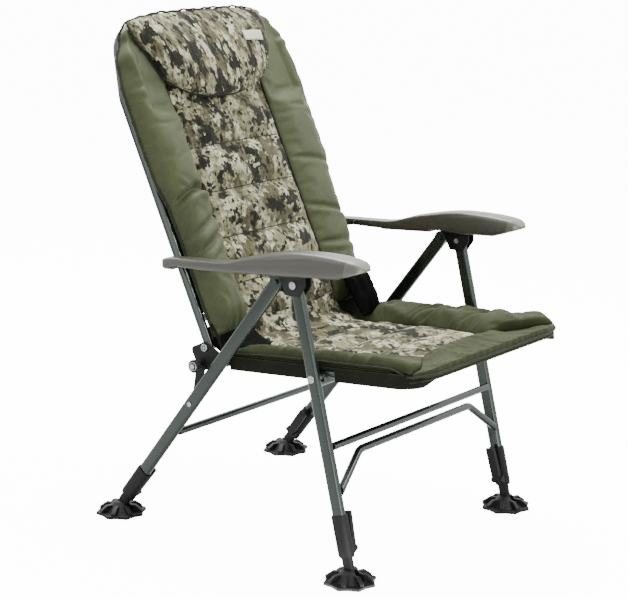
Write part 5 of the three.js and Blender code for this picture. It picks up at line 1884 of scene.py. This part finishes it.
        # Slot 1 is the paler plastic, a painted highlight on the tip; slot 2 is the dark rack.
        piece.data.materials.append(self.palette.materials["pale_taupe_plastic"])
        piece.data.materials.append(self.palette.materials["black_plastic"])
        shape = bmesh.new()
        shape.from_mesh(piece.data)
        front, rear = (pick(vert.co.y for vert in shape.verts) for pick in (min, max))
        for vert in shape.verts:
            along = (vert.co.y - front) / (rear - front)
            crown = table_at(self.arm_middle, along)
            below = smoothstep(crown - vert.co.z, -0.004, 0.004)
            blunt = self.bluntness * max(0.0, 1 - along / self.blunt_share) ** 2
            sag = self.underside * below * (smoothstep(along, 0.35, 0.5) - smoothstep(along, 0.8, 0.92))
            vert.co.z = crown + (vert.co.z - crown) * (1 + blunt) - sag
            vert.co.y += self.longer * smoothstep(along, 0.8, 1.0)
        middle = sum(vert.co.x for vert in shape.verts) / len(shape.verts)
        outward = 1 if middle > 0 else -1
        normal = Vector((self.cap_slant[0] * outward, -1, self.cap_slant[1])).normalized()
        place = Vector((middle, front + self.cap_length, self.cap_height))
        geometry = list(shape.verts) + list(shape.edges) + list(shape.faces)
        bmesh.ops.bisect_plane(shape, geom=geometry, plane_co=place, plane_no=normal, dist=1e-5)
        for face in shape.faces:
            centre = face.calc_center_median()
            # Faces beyond the plane get the paler plastic: a painted highlight on the tip.
            if (centre - place).dot(normal) > 0:
                face.material_index = 1
            elif centre.y > self.rack_front and face.normal.z < self.rack_facing:
                face.material_index = 2
        shape.to_mesh(piece.data)
        shape.free()

    def _finish(self, node: str) -> str:
        """The finish of a node.

        Args:
            node: The node's name.

        Returns:
            The finish's name.
        """
        if node.startswith(self.painted):
            return "green_enamel"
        if node.startswith(self.plated):
            return "bright_zinc"
        return "taupe_plastic" if node in self.arms else "black_plastic"


@dataclass
class Slings(Assembly):
    """The seat's and the back's slings."""

    def build(self, frame: dict) -> None:
        """Dresses the slings.
        """
        for node, body, flat, frame_node in (
            ("seat_sling", "seat", (0.60, 0.49), "seat_frame"),
            ("back_sling", "backrest", (0.498, 0.649), "back_frame"),
        ):
            shape = opened(frame["nodes"][node].data, CAD_JOIN)
            smooth_sharp(shape)
            piece = finished(f"{node}_cloth", shape)
            self.fit(piece, "dark_sling_cloth", body, node)
            self.lay(piece, flat, "stretched", [f"{frame_node}_body"])


@dataclass
class Studio:
    """The camera, the floor and the lights."""

    palette: Palette | None = None
    lens: float = 105.45
    place: Triple = (-3.023, -2.36064, 1.406)
    yaw: float = 51.508
    pitch: float = -13.519
    roll: float = -0.39
    backdrop: float = 16.0
    ambient: float = 0.36
    sheen: float = 2.3

    def set_camera(self) -> None:
        """Puts the camera where the photograph was taken."""
        data = bpy.data.cameras.new("photograph")
        data.lens = self.lens
        data.sensor_width = 36
        camera = bpy.data.objects.new("photograph", data)
        bpy.context.scene.collection.objects.link(camera)
        yaw, pitch = math.radians(self.yaw), math.radians(self.pitch)
        forward = Vector((math.sin(yaw) * math.cos(pitch), math.cos(yaw) * math.cos(pitch), math.sin(pitch)))
        turn = forward.to_track_quat("-Z", "Y").to_matrix().to_4x4()
        roll = Matrix.Rotation(math.radians(-self.roll), 4, "Z")
        camera.matrix_world = Matrix.Translation(self.place) @ turn @ roll
        data.clip_end = 50
        bpy.context.scene.camera = camera

    def light(self) -> None:
        """Lays the floor and hangs the lamps."""
        shape = bmesh.new()
        bmesh.ops.create_grid(shape, x_segments=2, y_segments=2, size=30)
        floor = finished("studio_floor", shape)
        floor.data.materials.append(self.palette.materials["studio_floor"])
        world = bpy.data.worlds.new("studio") if bpy.context.scene.world is None else bpy.context.scene.world
        bpy.context.scene.world = world
        world.use_nodes = True
        background = world.node_tree.nodes["Background"]
        background.inputs[0].default_value = (1, 1, 1, 1)
        wiring = Wiring(world.node_tree)
        light = wiring.add("LightPath").outputs
        mirrored = wiring.math("MULTIPLY_ADD", light["Is Glossy Ray"], self.sheen - self.ambient, self.ambient)
        shown = wiring.math("MULTIPLY_ADD", light["Is Camera Ray"], self.backdrop, mirrored)
        wiring.fill(background, {1: shown})
        for name, place, aim, size, power in [
            ("key_lamp", (1.1, -2.6, 3.2), (0, 0, 0.5), 1.6, 125),
            ("fill_lamp", (-3.4, -0.8, 1.8), (0, 0, 0.5), 2.0, 8),
            ("top_lamp", (0.5, 0.9, 3.4), (0, 0, 0.5), 2.2, 165),
            ("rim_lamp", (0.8, 3.0, 2.2), (0, 0, 0.7), 1.8, 50),
        ]:
            data = bpy.data.lights.new(name, "AREA")
            data.size = size
            data.energy = power
            lamp = bpy.data.objects.new(name, data)
            lamp.location = place
            lamp.rotation_euler = (Vector(aim) - Vector(place)).to_track_quat("-Z", "Y").to_euler()
            bpy.context.scene.collection.objects.link(lamp)


def main() -> None:
    """Builds the camera, the chair's sub-assemblies and the studio, in order."""
    logging.basicConfig(level=logging.INFO, format="%(name)s: %(message)s")
    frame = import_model()
    Studio().set_camera()
    palette = Palette()
    layout = Layout(frame)
    workshop = Workshop()
    seat = SeatCushion(layout, palette, workshop)
    back = BackCushion(layout, palette, workshop)
    seat.build()
    back.build()
    workshop.run()
    seat.dress()
    back.dress()
    Crook(layout, palette, workshop).build()
    Hardware(layout, palette, workshop).build(frame)
    Slings(layout, palette, workshop).build(frame)
    Studio(palette).light()


if __name__ == "__main__":
    main()
